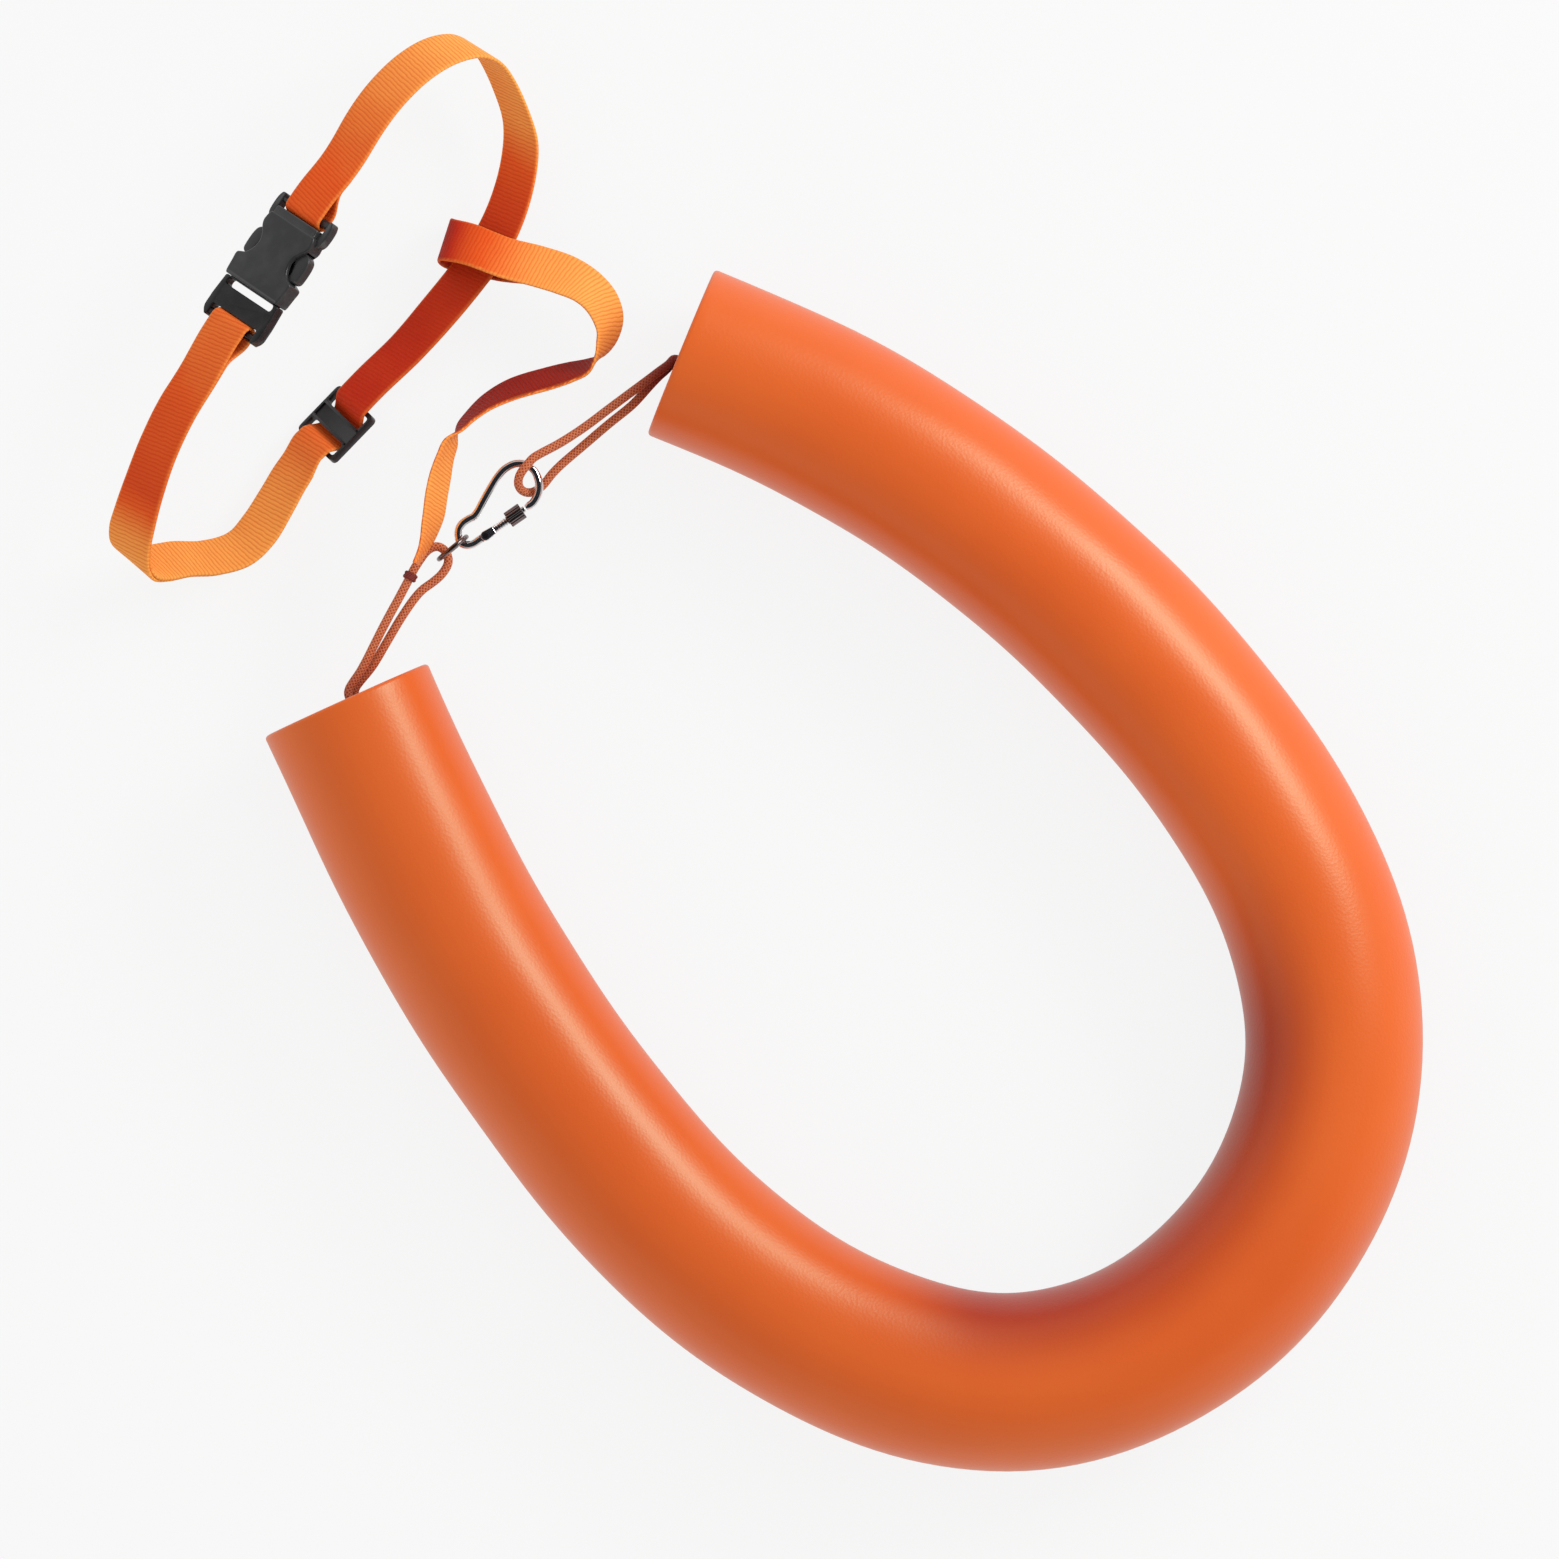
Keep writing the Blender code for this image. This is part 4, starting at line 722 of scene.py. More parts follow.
plainCordRoute = (
    (349, 689.5, 0.0022), (353, 682.5, 0.0022), (359, 674, 0.0021), (365.2, 663.2, 0.0020),
    (372.9, 647.9, 0.0018), (381.3, 631.1, 0.0016), (389.7, 615, 0.0012), (398.1, 599.7, 0.0008),
    (406.6, 583.7, 0.0003), (414, 569.3, 0.0), (420.2, 559.5, 0.0), (427.5, 550.3, 0.0),
    (437.0, 546.2, 0.0), (445.3, 551.0, 0.0), (448.6, 561.5, 0.0), (442.8, 573, -0.0003),
    (432.4, 582.5, -0.0008), (422.6, 589.5, -0.0011), (414.5, 598.4, -0.0014), (400.4, 618.9, -0.0018),
    (385.9, 643.3, -0.0020), (372.1, 666.3, -0.0021), (361, 680, -0.0022), (356, 686.5, -0.0022),
)


def snapFrame():
    nose = place(*picture["snapNose"], picture["cordHeight"])
    return frameMatrix(nose, Vector((-1, 0, 0)), Vector((0, 1, 0)))


def cordRoute(rows):
    return [place(px, py, picture["cordHeight"] + rise) for px, py, rise in rows]


def strandPlace(frames, index, upper):
    share = index / (len(frames) - 1)
    inset = cord["snapInset"] + (cord["plainInset"] - cord["snapInset"]) * share
    side = -1 if upper else 1
    point, inward, _ = frames[index]
    return point + inward * (inset + side * cord["spread"] / 2) + Vector((0, 0, -side * cord["rise"]))


def makeFreeCord(name, node, frames, index, rows):
    outward = frames[index][2] * (1 if index else -1)
    start = strandPlace(frames, index, True)
    end = strandPlace(frames, index, False)
    lead = outward * cord["diameter"] / 2 * cord["leadShare"]
    rows = [tuple(row) for row in [start, start + lead, *rows, end + lead, end]]
    line = smoothRows(rows, cord["step"])
    for _ in range(cord["easing"]):
        line[2:-2] = (line[1:-3] + 2 * line[2:-2] + line[3:-1]) / 4
    line = evenlyAlong(line, round(walkedLengths(line)[-1] / cord["step"]))
    piece = sweptTube(name, line, cord["diameter"] / 2, cord["sides"])
    # painted shade darkens the ends at the foam, most of all on the snap hook's side
    walked = walkedLengths(line)
    fade, strength = cord["plainShade"] if index else cord["snapShade"]
    endShade = 1 - smoothShare(np.minimum(walked, walked[-1] - walked), cord["shadeFrom"], fade)
    endShade = np.concatenate([np.repeat(endShade, cord["sides"]), endShade[[0, -1]]])[:len(piece.data.vertices)]
    paint(piece, endShade * strength)
    dress(piece, cordMaterial, "cord", None if node == "snap_side_cord" else "float", node)
    return piece


def makeBoreCords(frames):
    both = (("boreCordUpper", "bore_cord_upper", True), ("boreCordLower", "bore_cord_lower", False))
    for name, node, upper in both:
        places = [tuple(strandPlace(frames, i, upper)) for i in range(len(frames))]
        line = evenSpline(places, cord["boreSteps"])
        piece = sweptTube(name, line, cord["diameter"] / 2, cord["boreSides"])
        dress(piece, cordMaterial, "cord", "float", node)


def makeCords():
    frames = tubeFrames(picture["stations"])
    toSnap = snapFrame()
    bight = [toSnap @ Vector((along, across, -rise)) for along, across, rise in snapCordBight]
    rows = cordRoute(snapCordOut) + bight + cordRoute(snapCordBack)
    piece = makeFreeCord("snapSideCord", "snap_side_cord", frames, 0, rows)
    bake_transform(piece)
    makeFreeCord("plainSideCord", "plain_side_cord", frames, len(frames) - 1, cordRoute(plainCordRoute))
    makeBoreCords(frames)


# Webbing
webbing = {
    "width": 0.020, "thickness": 0.0015, "step": 0.0012, "beltRise": 0.050, "tetherRise": 0.0345,
    "layerPitch": 0.0016, "outerShare": 0.999, "barLift": 0.0030, "spread": 0.030, "hiddenSpread": 0.012,
    "sewn": 0.020, "tailStop": 0.024, "turnSteps": 16, "plugStrap": 0.104, "cutRoom": 0.0003,
}
webbingProfile = (
    (-0.5, 0.0), (-0.492, 0.30), (-0.472, 0.45), (-0.44, 0.5), (-0.3, 0.5), (-0.1, 0.5), (0.1, 0.5),
    (0.3, 0.5), (0.44, 0.5), (0.472, 0.45), (0.492, 0.30), (0.5, 0.0),
)
beltRoute = (
    (368, 121, 0.97, 33, 35), (389, 93, 0.93, 33, 34), (416, 67, 0.86, 33, 33), (443, 51, 0.78, 33, 32),
    (467, 46, 0.69, 33, 32), (483, 52, 0.60, 33, 32), (496, 68, 0.50, 33, 33), (511, 100, 0.42, 33, 34),
    (520, 131, 0.385, 33, 35), (518, 166, 0.37, 34, 36), (507, 207, 0.37, 35, 36),
    (490, 243, 0.37, 36, 36), (466, 276, 0.37, 38, 37), (438, 310, 0.33, 40, 38),
    (405, 347, 0.265, 43, 42),
)
hipRoute = (
    (297, 463.5, 0.262, 42, 41), (287, 479, 0.262, 40, 39), (274.5, 501, 0.266, 39, 37),
    (257, 529, 0.28, 43, 34), (238, 548, 0.30, 52, 38), (208, 557, 0.33, 58, 40),
    (181, 558, 0.38, 57, 37), (158, 562, 0.45, 51, 31), (141, 562, 0.52, 43, 24),
    (131.5, 552, 0.58, 36, 19), (130.5, 537, 0.64, 33, 19), (135.5, 517, 0.71, 33, 24),
    (145, 487, 0.79, 33, 31), (160, 447, 0.87, 33, 35), (180, 407, 0.95, 33, 36),
)
tetherRoute = (
    (528, 263, 0.62, 107, 35), (507, 259.5, 0.44, 107, 31), (491, 254.5, 0.28, 107, 24),
    (476, 250, 0.185, 107, 18), (462, 246.5, 0.145, 107, 14), (449.5, 242, 0.22, 107, 15),
    (444.5, 238.5, 0.44, 107, 25), (450.5, 239.5, 0.67, 107, 31), (469.7, 244, 0.83, 107, 34),
    (487, 250.8, 0.90, 107, 36), (506, 258, 0.93, 107, 36), (538, 266.1, 0.89, 107, 35),
    (566, 275.2, 0.84, 118, 36), (587.5, 287, 0.81, 132, 43), (602, 302.5, 0.78, 146, 48),
    (609.7, 323.6, 0.77, 153, 56), (606.7, 341, 0.76, 165, 67), (600, 354.5, 0.76, 160, 80),
    (588, 365.5, 0.76, 85, 74), (570, 371.7, 0.77, 74, 67), (552, 377, 0.78, 71, 64),
    (512, 389, 0.82, 70, 65), (487, 402, 0.87, 60, 71), (470, 416.5, 0.93, 48, 77),
    (459.5, 428.5, 0.98, 39, 82), (451, 442.5, 1.04, 207, 77), (445.4, 457.4, 1.09, 200, 73),
    (440.5, 476.5, 1.15, 196, 68), (436.8, 495.7, 1.21, 193, 67), (434.2, 514.8, 1.27, 192, 68),
    (431, 528, 1.31, 194, 72), (427.3, 541, 1.34, 199, 78), (423, 551.5, 1.37, 206, 83),
    (416.5, 564, 1.40, 209, 87),
)
buckle = {
    "pixel": (231, 331), "direction": -56.0, "tilt": 38.0, "length": 0.057, "width": 0.033,
    "barInset": 0.0020,
}
slider = {
    "pixel": (332, 420), "direction": 134.0, "tilt": 43.0, "length": 0.024, "width": 0.0264,
    "thickness": 0.003, "endBar": 0.0020, "middleBar": 0.0082, "beltRun": 0.022, "hipRun": 0.0150,
}
weaveShares = ((1.0, 0.94), (0.55, 0.62), (0.0, 0.0), (-0.55, -0.62), (-1.0, -0.94))


def strapRows(table, rise):
    return [
        [*place(px, py, share * rise), *heading(degrees, tilt)]
        for px, py, share, degrees, tilt in table
    ]


def buckleFrame():
    across = heading(buckle["direction"] + 90, buckle["tilt"])
    return frameMatrix(place(*buckle["pixel"], webbing["beltRise"]), heading(buckle["direction"]), -across)


def weaveHeight():
    return slider["thickness"] / 2 + picture["strapGap"] + webbing["thickness"] / 2


def sliderFrame():
    across = heading(slider["direction"] - 90, slider["tilt"])
    origin = place(*slider["pixel"], beltRoute[-1][2] * webbing["beltRise"])
    origin = origin - heading(slider["direction"]).cross(across) * weaveHeight()
    return frameMatrix(origin, heading(slider["direction"]), across)


def sliderWeave():
    over = weaveHeight()
    inner = slider["middleBar"] / 2
    outer = slider["length"] / 2 - slider["endBar"]
    middleOfSlot = (inner + outer) / 2
    half = (outer - inner) / 2
    rampPlaces = [(middleOfSlot + half * out, over * up) for out, up in weaveShares]
    side = [(slider["length"] / 2, over)] + rampPlaces + [(inner / 2, -over)]
    weave = [(-x, z) for x, z in side] + side[::-1]
    return [(-slider["beltRun"], over)] + weave + [(slider["hipRun"], over)]


def localRows(matrix, places, across):
    return [[*(matrix @ Vector((x, 0, z))), *across] for x, z in places]


def withForwards(rows):
    forwards = np.gradient(rows[:, :3], axis=0)
    forwards /= np.linalg.norm(forwards, axis=1)[:, None]
    return np.hstack([rows, forwards])


def faceDirection(row):
    return Vector(row[6:9]).cross(Vector(row[3:6])).normalized()


def shifted(rows, shifts):
    moved = rows.copy()
    for row, amount in zip(moved, shifts):
        row[:3] += np.array(faceDirection(row)) * amount
    return moved


def tucked(rows, amounts):
    # slides a layer along its width, so that from above it lies over or under its neighbour
    moved = rows.copy()
    for row, amount in zip(moved, amounts):
        normal = faceDirection(row)
        across = Vector(row[3:6])
        level = across.x**2 + across.y**2
        row[:3] -= np.array(across) * amount * (normal.x * across.x + normal.y * across.y) / level
    return moved


def spreadShare(distance, reach):
    share = (distance - webbing["barLift"]) / reach
    return (1 + math.cos(math.pi * max(0.0, min(1.0, share)))) / 2


def strapSlice(rows, walked, start, end):
    ends = [np.array([np.interp(length, walked, column) for column in rows.T]) for length in (start, end)]
    room = webbing["cutRoom"]
    between = rows[(walked > start + room) & (walked < end - room)]
    return np.vstack([ends[0], between, ends[1]])


def backwards(rows):
    turned = rows[::-1].copy()
    turned[:, 6:9] *= -1
    return turned


def barTurn(row, startSide):
    normal = faceDirection(row)
    forward = Vector(row[6:9])
    turn = []
    for k in range(1, webbing["turnSteps"]):
        angle = math.pi * k / webbing["turnSteps"]
        lean = normal * startSide * math.cos(angle) + forward * math.sin(angle)
        ahead = forward * math.cos(angle) - normal * startSide * math.sin(angle)
        turn.append([*(Vector(row[:3]) + lean * webbing["barLift"]), *row[3:6], *ahead])
    return np.array(turn)


def makeStrap(name, rows, strapShading, body, nodes):
    profile = list(webbingProfile) + [(x, -y) for x, y in webbingProfile[-2:0:-1]]
    rings = []
    for row in rows:
        normal = faceDirection(row)
        across = Vector(row[3:6]).normalized()
        across = (across - normal * across.dot(normal)).normalized()
        centre = Vector(row[:3])
        rings.append([
            centre + across * x * webbing["width"] + normal * y * webbing["thickness"]
            for x, y in profile
        ])
    across = [x * webbing["width"] for x, _ in profile] + [profile[0][0] * webbing["width"]]
    piece = sweptGrid(name, rings, across, degrees=60)
    paintStrapShading(piece, rows, len(profile), strapShading)
    dress(piece, webbingMaterial, "webbing", body, *nodes)
    return piece


def bothFaces(strapShading):
    return [(share, face, face, edge) for share, face, edge in strapShading]


def paintStrapShading(piece, rows, sides, strapShading):
    # painted light and shade that change softly along the strap, with a value for each face and one for its
    # edges, lit as a painted highlight
    walked = walkedLengths(rows)
    lengths, back, front, edge = (np.array(column) for column in zip(*strapShading))
    lengths = lengths * walked[-1]
    half = len(webbingProfile)
    values = np.zeros((len(rows), sides))
    values[:, :half] = np.interp(walked, lengths, front)[:, None]
    values[:, half:] = np.interp(walked, lengths, back)[:, None]
    for column in (0, 1, half - 2, half - 1, half, sides - 1):
        values[:, column] = np.interp(walked, lengths, edge)
    paint(piece, values)


def beltLine():
    buckleTo = buckleFrame()
    sliderTo = sliderFrame()
    buckleAcross = -(buckleTo.to_3x3() @ Vector((0, 1, 0)))
    sliderAcross = sliderTo.to_3x3() @ Vector((0, 1, 0))
    bar = buckle["barInset"]
    ends = (0, webbing["sewn"] / 2, webbing["sewn"])
    rows = localRows(buckleTo, [(buckle["length"] - bar + x, 0) for x in ends], buckleAcross)
    rows += strapRows(beltRoute, webbing["beltRise"])
    rows += localRows(sliderTo, sliderWeave(), sliderAcross)
    rows += strapRows(hipRoute, webbing["beltRise"])
    rows += localRows(buckleTo, [(bar - x, 0) for x in ends[::-1]], buckleAcross)
    return withForwards(smoothRows(rows, webbing["step"]))


# painted light and shade along each strap: place as a share of its length, faces, edge
beltPaintedShading = (
    (0.0, 0.50, 0.6), (0.15, 0.50, 0.6), (0.22, 0.62, 0.7), (0.28, 0.76, 0.8), (0.36, 0.92, 1.0),
    (0.42, 0.98, 1.0), (0.47, 0.95, 1.0), (0.53, 0.88, 0.95), (0.58, 0.55, 0.8), (0.63, 0.25, 0.6),
    (0.68, 0.15, 0.4), (0.75, 0.08, 0.3), (0.88, 0.02, 0.2), (0.95, 0.02, 0.2), (1.0, 0.25, 0.3),
)
hipPaintedShading = (
    (0.0, 0.50, 0.6), (0.14, 0.64, 0.8), (0.35, 0.92, 1.0), (0.6, 0.95, 1.0), (1.0, 0.98, 1.0),
)
plugPaintedShading = (
    (0.0, 0.90, 0.9), (0.15, 0.30, 0.4), (0.30, 0.50, 0.6), (0.46, 0.60, 0.7), (0.60, 0.58, 0.7),
    (0.74, 0.42, 0.6), (0.86, 0.28, 0.5), (0.95, 0.85, 0.9), (1.0, 0.95, 1.0),
)
tailPaintedShading = (
    (0.0, 0.98, 1.0), (0.5, 0.95, 1.0), (1.0, 0.85, 1.0),
)
# the tether has painted light and shade of its own for its back face and its front face
tetherPaintedShading = (
    (0.0, -0.3, -0.3, 0.0), (0.14, -0.3, -0.3, 0.0), (0.19, -0.3, -0.2, 0.3), (0.235, 0.35, -0.2, 0.6),
    (0.29, 0.62, -0.2, 0.8), (0.345, 0.85, -0.2, 0.9), (0.45, 1.0, -0.3, 1.0), (0.53, 0.9, -0.4, 0.9),
    (0.66, 0.8, -0.5, 0.75), (0.78, 0.85, -0.4, 0.8), (0.885, 0.95, -0.2, 0.9), (1.0, 0.75, -0.2, 0.7),
)


def makeBeltStraps():
    line = beltLine()
    walked = walkedLengths(line)
    total = walked[-1]
    sliderTo = sliderFrame()
    sliderSpot = np.array(sliderTo @ Vector((0, 0, -weaveHeight())))
    sliderAt = walked[np.argmin(np.linalg.norm(line[:, :3] - sliderSpot, axis=1))]
    lift = webbing["barLift"]
    pitch = webbing["layerPitch"]
    fromSocket = [spreadShare(length, webbing["spread"]) for length in walked]
    fromPlug = [spreadShare(total - length, webbing["spread"]) for length in walked]
    nearSocket = [spreadShare(length, webbing["hiddenSpread"]) for length in walked]
    nearPlug = [spreadShare(total - length, webbing["hiddenSpread"]) for length in walked]
    # the seen layer comes slowly off its bar, and the layer behind it closes up to it at once
    mainShift = [-lift * share for share in fromSocket]
    innerShift = [lift * near + (seen + pitch) * (1 - near) for near, seen in zip(nearSocket, mainShift)]
    outerShift = [-lift * share - pitch * (1 - share) * webbing["outerShare"] for share in fromPlug]
    plugShift = [lift * near + (seen + pitch) * (1 - near) for near, seen in zip(nearPlug, outerShift)]
    main = shifted(line, [
        plugSide if length > total / 2 else socketSide
        for length, socketSide, plugSide in zip(walked, mainShift, plugShift)
    ])
    inner = tucked(shifted(line, innerShift), [pitch * (1 - near) for near in nearSocket])
    outer = tucked(shifted(line, outerShift), [-pitch * (1 - share) for share in fromPlug])

    sewn = backwards(strapSlice(inner, walked, 0, webbing["sewn"]))
    turn = barTurn(backwards(line)[-1], -1)
    run = strapSlice(main, walked, 0, sliderAt)
    belt = np.vstack([sewn, turn, run])
    strapShading = bothFaces(beltPaintedShading)
    piece = makeStrap("beltWebbing", belt, strapShading, None, ["belt_strap"])
    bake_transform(piece)

    plugStart = total - webbing["plugStrap"]
    hip = strapSlice(main, walked, sliderAt, plugStart)
    strapShading = bothFaces(hipPaintedShading)
    piece = makeStrap("hipWebbing", hip, strapShading, None, ["slider_strap", "hip_strap"])
    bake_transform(piece)

    plugRun = np.vstack([
        strapSlice(main, walked, plugStart, total), barTurn(line[-1], 1),
        backwards(strapSlice(outer, walked, plugStart, total)),
    ])
    strapShading = bothFaces(plugPaintedShading)
    piece = makeStrap("plugWebbing", plugRun, strapShading, None, ["plug_strap"])
    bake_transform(piece)

    tail = backwards(strapSlice(outer, walked, sliderAt + webbing["tailStop"], plugStart))
    makeStrap("tailWebbing", tail, bothFaces(tailPaintedShading), "float", ["strap_tail"])


def makeTether():
    rows = withForwards(smoothRows(strapRows(tetherRoute, webbing["tetherRise"]), webbing["step"]))
    makeStrap("tetherWebbing", rows, tetherPaintedShading, "float", ["tether_strap"])


def makeTetherBand():
    # the stitched band that holds the tether's end on the cord, a closed sleeve
    look = {"row": 8, "length": 0.0030, "wall": 0.0006, "sides": 28, "room": 0.0003, "round": 0.0003}
    route = cordRoute(plainCordRoute)
    before, after = route[look["row"]], route[look["row"] + 1]
    centre = (before + after) / 2
    forward = (after - before).normalized()
    side = Vector((0, 0, 1)).cross(forward).normalized()
    up = forward.cross(side)
    inner = cord["diameter"] / 2 + look["room"]
    outer = inner + look["wall"]
    half = look["length"] / 2
    soft = look["round"]
    section = [
        (-half, inner), (-half, outer - soft), (-half + soft, outer), (-half / 2, outer + soft / 2),
        (0, outer - 0.0001), (half / 2, outer + soft / 2), (half - soft, outer), (half, outer - soft),
        (half, inner),
    ]
    rings = [
        [centre + forward * along + (side * x + up * y) * radius for x, y in ringShares(look["sides"])]
        for along, radius in section
    ]
    girth = 2 * math.pi * outer
    across = [girth * k / look["sides"] for k in range(look["sides"] + 1)]
    dress(sweptGrid("tetherBand", rings, across, loop=True), bandMaterial, "band", "float", "tether_band")


# Side release buckle
shell = {
    "top": 0.0043, "bottom": -0.0036, "frameThickness": 0.0042, "plugHalf": 0.0023, "mouth": 0.0181,
    "bodyEnd": 0.0482, "topEnd": 0.0514, "slotSide": 0.0133, "barRadius": 0.00172, "barInset": 0.0020,
    "gap": 0.00033, "cavityWidth": 0.818, "cavityDepth": 0.844, "edge": 0.0014, "frameEdge": 0.0007,
    "barSides": 24, "barFront": 0.0056,
}
waistShares = (
    (0.0, 0.93), (0.05, 0.955), (0.2, 0.98), (0.27, 1.0), (0.315, 0.985), (0.335, 0.90), (0.355, 0.79),
    (0.40, 0.70), (0.47, 0.63), (0.55, 0.59), (0.63, 0.605), (0.71, 0.70), (0.78, 0.81), (0.85, 0.86),
    (0.95, 0.83), (1.0, 0.78),
)
prongShares = (
    (0.0, 0.20), (0.25, 0.25), (0.43, 0.42), (0.465, 0.80), (0.52, 0.92), (0.66, 0.95), (0.84, 0.94),
    (0.98, 0.86), (1.06, 0.58), (1.075, 0.16), (1.04, -0.08), (0.955, -0.06), (0.85, 0.06),
    (0.72, 0.22), (0.58, 0.30), (0.47, 0.22), (0.34, 0.02), (0.0, -0.20),
)
prong = {
    "place": 0.0465, "side": 0.5576, "reach": 0.681, "bulge": 0.4727, "rootGap": 0.0009, "edge": 0.0007,
    "round": 0.0012,
}


def endBar(name, barX):
    half = shell["slotSide"] + 0.0012
    steps = [(barX, -half, 0), (barX, -half / 3, 0), (barX, half / 3, 0), (barX, half, 0)]
    return sweptTube(name, steps, shell["barRadius"], shell["barSides"])


def weighted(piece):
    selectOnly(piece)
    piece.modifiers.new("even faces", "WEIGHTED_NORMAL").keep_sharp = True
    return applyAll(piece)


def makeSocket():
    look = {
        "round": 0.0012, "lipInset": 0.0006, "lipOverlap": 0.004, "lipRound": 0.0010, "lipLow": 0.0008,
        "lipHigh": 0.0003, "lipEdge": 0.0006, "frameReach": 0.013, "frameRound": 0.0014, "mouthCut": 0.002,
    }
    half = buckle["width"] / 2
    length = shell["bodyEnd"] - shell["mouth"]
    outline = mirroredOutline(scaledOutline(waistShares, shell["mouth"], length, half))
    socket = plate("buckleSocket", roundedOutline(outline, look["round"]), shell["bottom"], shell["top"])
    bevelled(socket, shell["edge"], 5)
    topHalf = half * waistShares[-1][1] - look["lipInset"]
    top = boxOutline(shell["bodyEnd"] - look["lipOverlap"], shell["topEnd"], topHalf)
    top = roundedOutline(top, look["lipRound"])
    lip = plate("socketTop", top, shell["bottom"] + look["lipLow"], shell["top"] - look["lipHigh"])
    cutWith(socket, bevelled(lip, look["lipEdge"], 3), "UNION")
    end = buckle["length"]
    start = end - look["frameReach"]
    side = shell["slotSide"]
    slotStart = shell["topEnd"] - 0.0012
    ear = [
        (start, half * 0.80), (start + 0.0033, half * 0.98), (start + 0.0075, half),
        (end - 0.0022, half * 0.985), (end, half * 0.93), (end, side + 0.0003), (end - 0.0009, side),
        (slotStart, side), (slotStart, side - 0.003),
    ]
    frameOutline = roundedOutline(mirroredOutline(ear), look["frameRound"])
    thin = shell["frameThickness"] / 2
    frameOf = bevelled(plate("socketFrame", frameOutline, -thin, thin), shell["frameEdge"], 4)
    cutWith(socket, frameOf, "UNION")
    cutWith(socket, endBar("socketBar", end - shell["barInset"]), "UNION")
    cavityHalf = half * shell["cavityWidth"]
    cavityEnd = shell["mouth"] + length * shell["cavityDepth"]
    cavity = boxOutline(shell["mouth"] - look["mouthCut"], cavityEnd, cavityHalf)
    cavity = roundedOutline(cavity, look["round"])
    hollow = shell["plugHalf"] + shell["gap"]
    cutWith(socket, plate("socketCavity", cavity, -hollow, hollow))
    smoothShade(weighted(socket), 32)
    dress(settle(socket, buckleFrame()), plasticMaterial, "black_plastic", "float", "buckle_socket")


def makePlug():
    look = {
        "shoulderGap": 0.0002, "guideHalf": 0.0026, "guideShare": 0.714, "round": 0.0010,
        "peekFrom": 0.0144, "peekTo": 0.0174, "peekWall": 0.0028, "peekRound": 0.0013, "edge": 0.0006,
    }
    half = buckle["width"] / 2
    thick = shell["plugHalf"]
    length = shell["bodyEnd"] - shell["mouth"]
    shoulder = shell["mouth"] - look["shoulderGap"]
    neck = half * shell["cavityWidth"] - shell["gap"]
    baseEnd = shell["mouth"] + length * prong["place"] - prong["rootGap"]
    guideHalf = look["guideHalf"]
    guideEnd = shell["mouth"] + length * look["guideShare"]
    inner = shell["slotSide"]
    barFront = shell["barFront"]
    ear = [
        (barFront, inner - 0.004), (barFront, inner), (0.0009, inner), (0.0, inner + 0.0004),
        (0.0, half * 0.87), (0.0017, half * 0.96), (0.0033, half), (0.0092, half), (0.0132, half * 0.98),
        (shoulder, half * 0.955), (shoulder, neck), (baseEnd, neck), (baseEnd, guideHalf),
        (guideEnd - guideHalf, guideHalf), (guideEnd, guideHalf * 0.4),
    ]
    outline = roundedOutline(mirroredOutline(ear), look["round"])
    plug = plate("bucklePlug", outline, -thick, thick)
    peek = boxOutline(look["peekFrom"], look["peekTo"], half - look["peekWall"])
    peek = roundedOutline(peek, look["peekRound"], 6)
    cutWith(plug, plate("plugPeek", peek, -thick * 2, thick * 2))
    bevelled(plug, look["edge"], 3)
    cutWith(plug, endBar("plugBar", shell["barInset"]), "UNION")
    smoothShade(weighted(plug), 32)
    dress(settle(plug, buckleFrame()), darkPlasticMaterial, "black_plastic", "plug", "buckle_plug")


def makeProngs():
    half = buckle["width"] / 2
    length = shell["bodyEnd"] - shell["mouth"]
    thick = shell["plugHalf"]
    both = (("prongLeft", "prong_left", "left_prong", 1), ("prongRight", "prong_right", "right_prong", -1))
    for name, node, body, side in both:
        outline = scaledOutline(prongShares, 0, length * prong["reach"], side * half * prong["bulge"])
        piece = plate(name, roundedOutline(outline, prong["round"], 5), -thick, thick)
        bevelled(piece, prong["edge"], 3)
        root = (shell["mouth"] + length * prong["place"], side * half * prong["side"], 0)
        hinge = Matrix.Translation(root)
        smoothShade(weighted(piece), 32)
        dress(settle(piece, buckleFrame() @ hinge), plasticMaterial, "black_plastic", body, node)


def makeSlider():
    look = {
        "slotSide": 0.0117, "corner": 0.0024, "rim": 0.0011, "channel": 0.0008, "ridge": 0.0006,
        "edge": 0.0004,
    }
    halfLength = slider["length"] / 2
    thick = slider["thickness"] / 2
    outline = roundedOutline(boxOutline(-halfLength, halfLength, slider["width"] / 2), look["corner"], 6)
    piece = plate("sliderBody", outline, -thick, thick)
    inner = slider["middleBar"] / 2
    outer = halfLength - slider["endBar"]
    for side in (1, -1):
        low, high = sorted((side * inner, side * outer))
        slot = roundedOutline(boxOutline(low, high, look["slotSide"]), 0.0012)
        cutWith(piece, plate("sliderSlot", slot, -thick * 2, thick * 2))
    bed = boxOutline(-inner + look["rim"], inner - look["rim"], look["slotSide"] + 0.0004)
    channel = roundedOutline(bed, 0.0006)
    cutWith(piece, plate("sliderChannel", channel, thick - look["channel"], thick * 2))
    for side in (1, -1):
        low, high = sorted((side * (inner - look["rim"]), side * (inner - 0.0001)))
        ridge = boxOutline(low, high, look["slotSide"] + 0.0002)
        ridge = plate("sliderRidge", ridge, 0, thick + look["ridge"])
        cutWith(piece, ridge, "UNION")
    bevelled(piece, look["edge"], 3)
    smoothShade(weighted(piece), 32)
    dress(settle(piece, sliderFrame()), darkPlasticMaterial, "black_plastic", "length_slider", "slider")


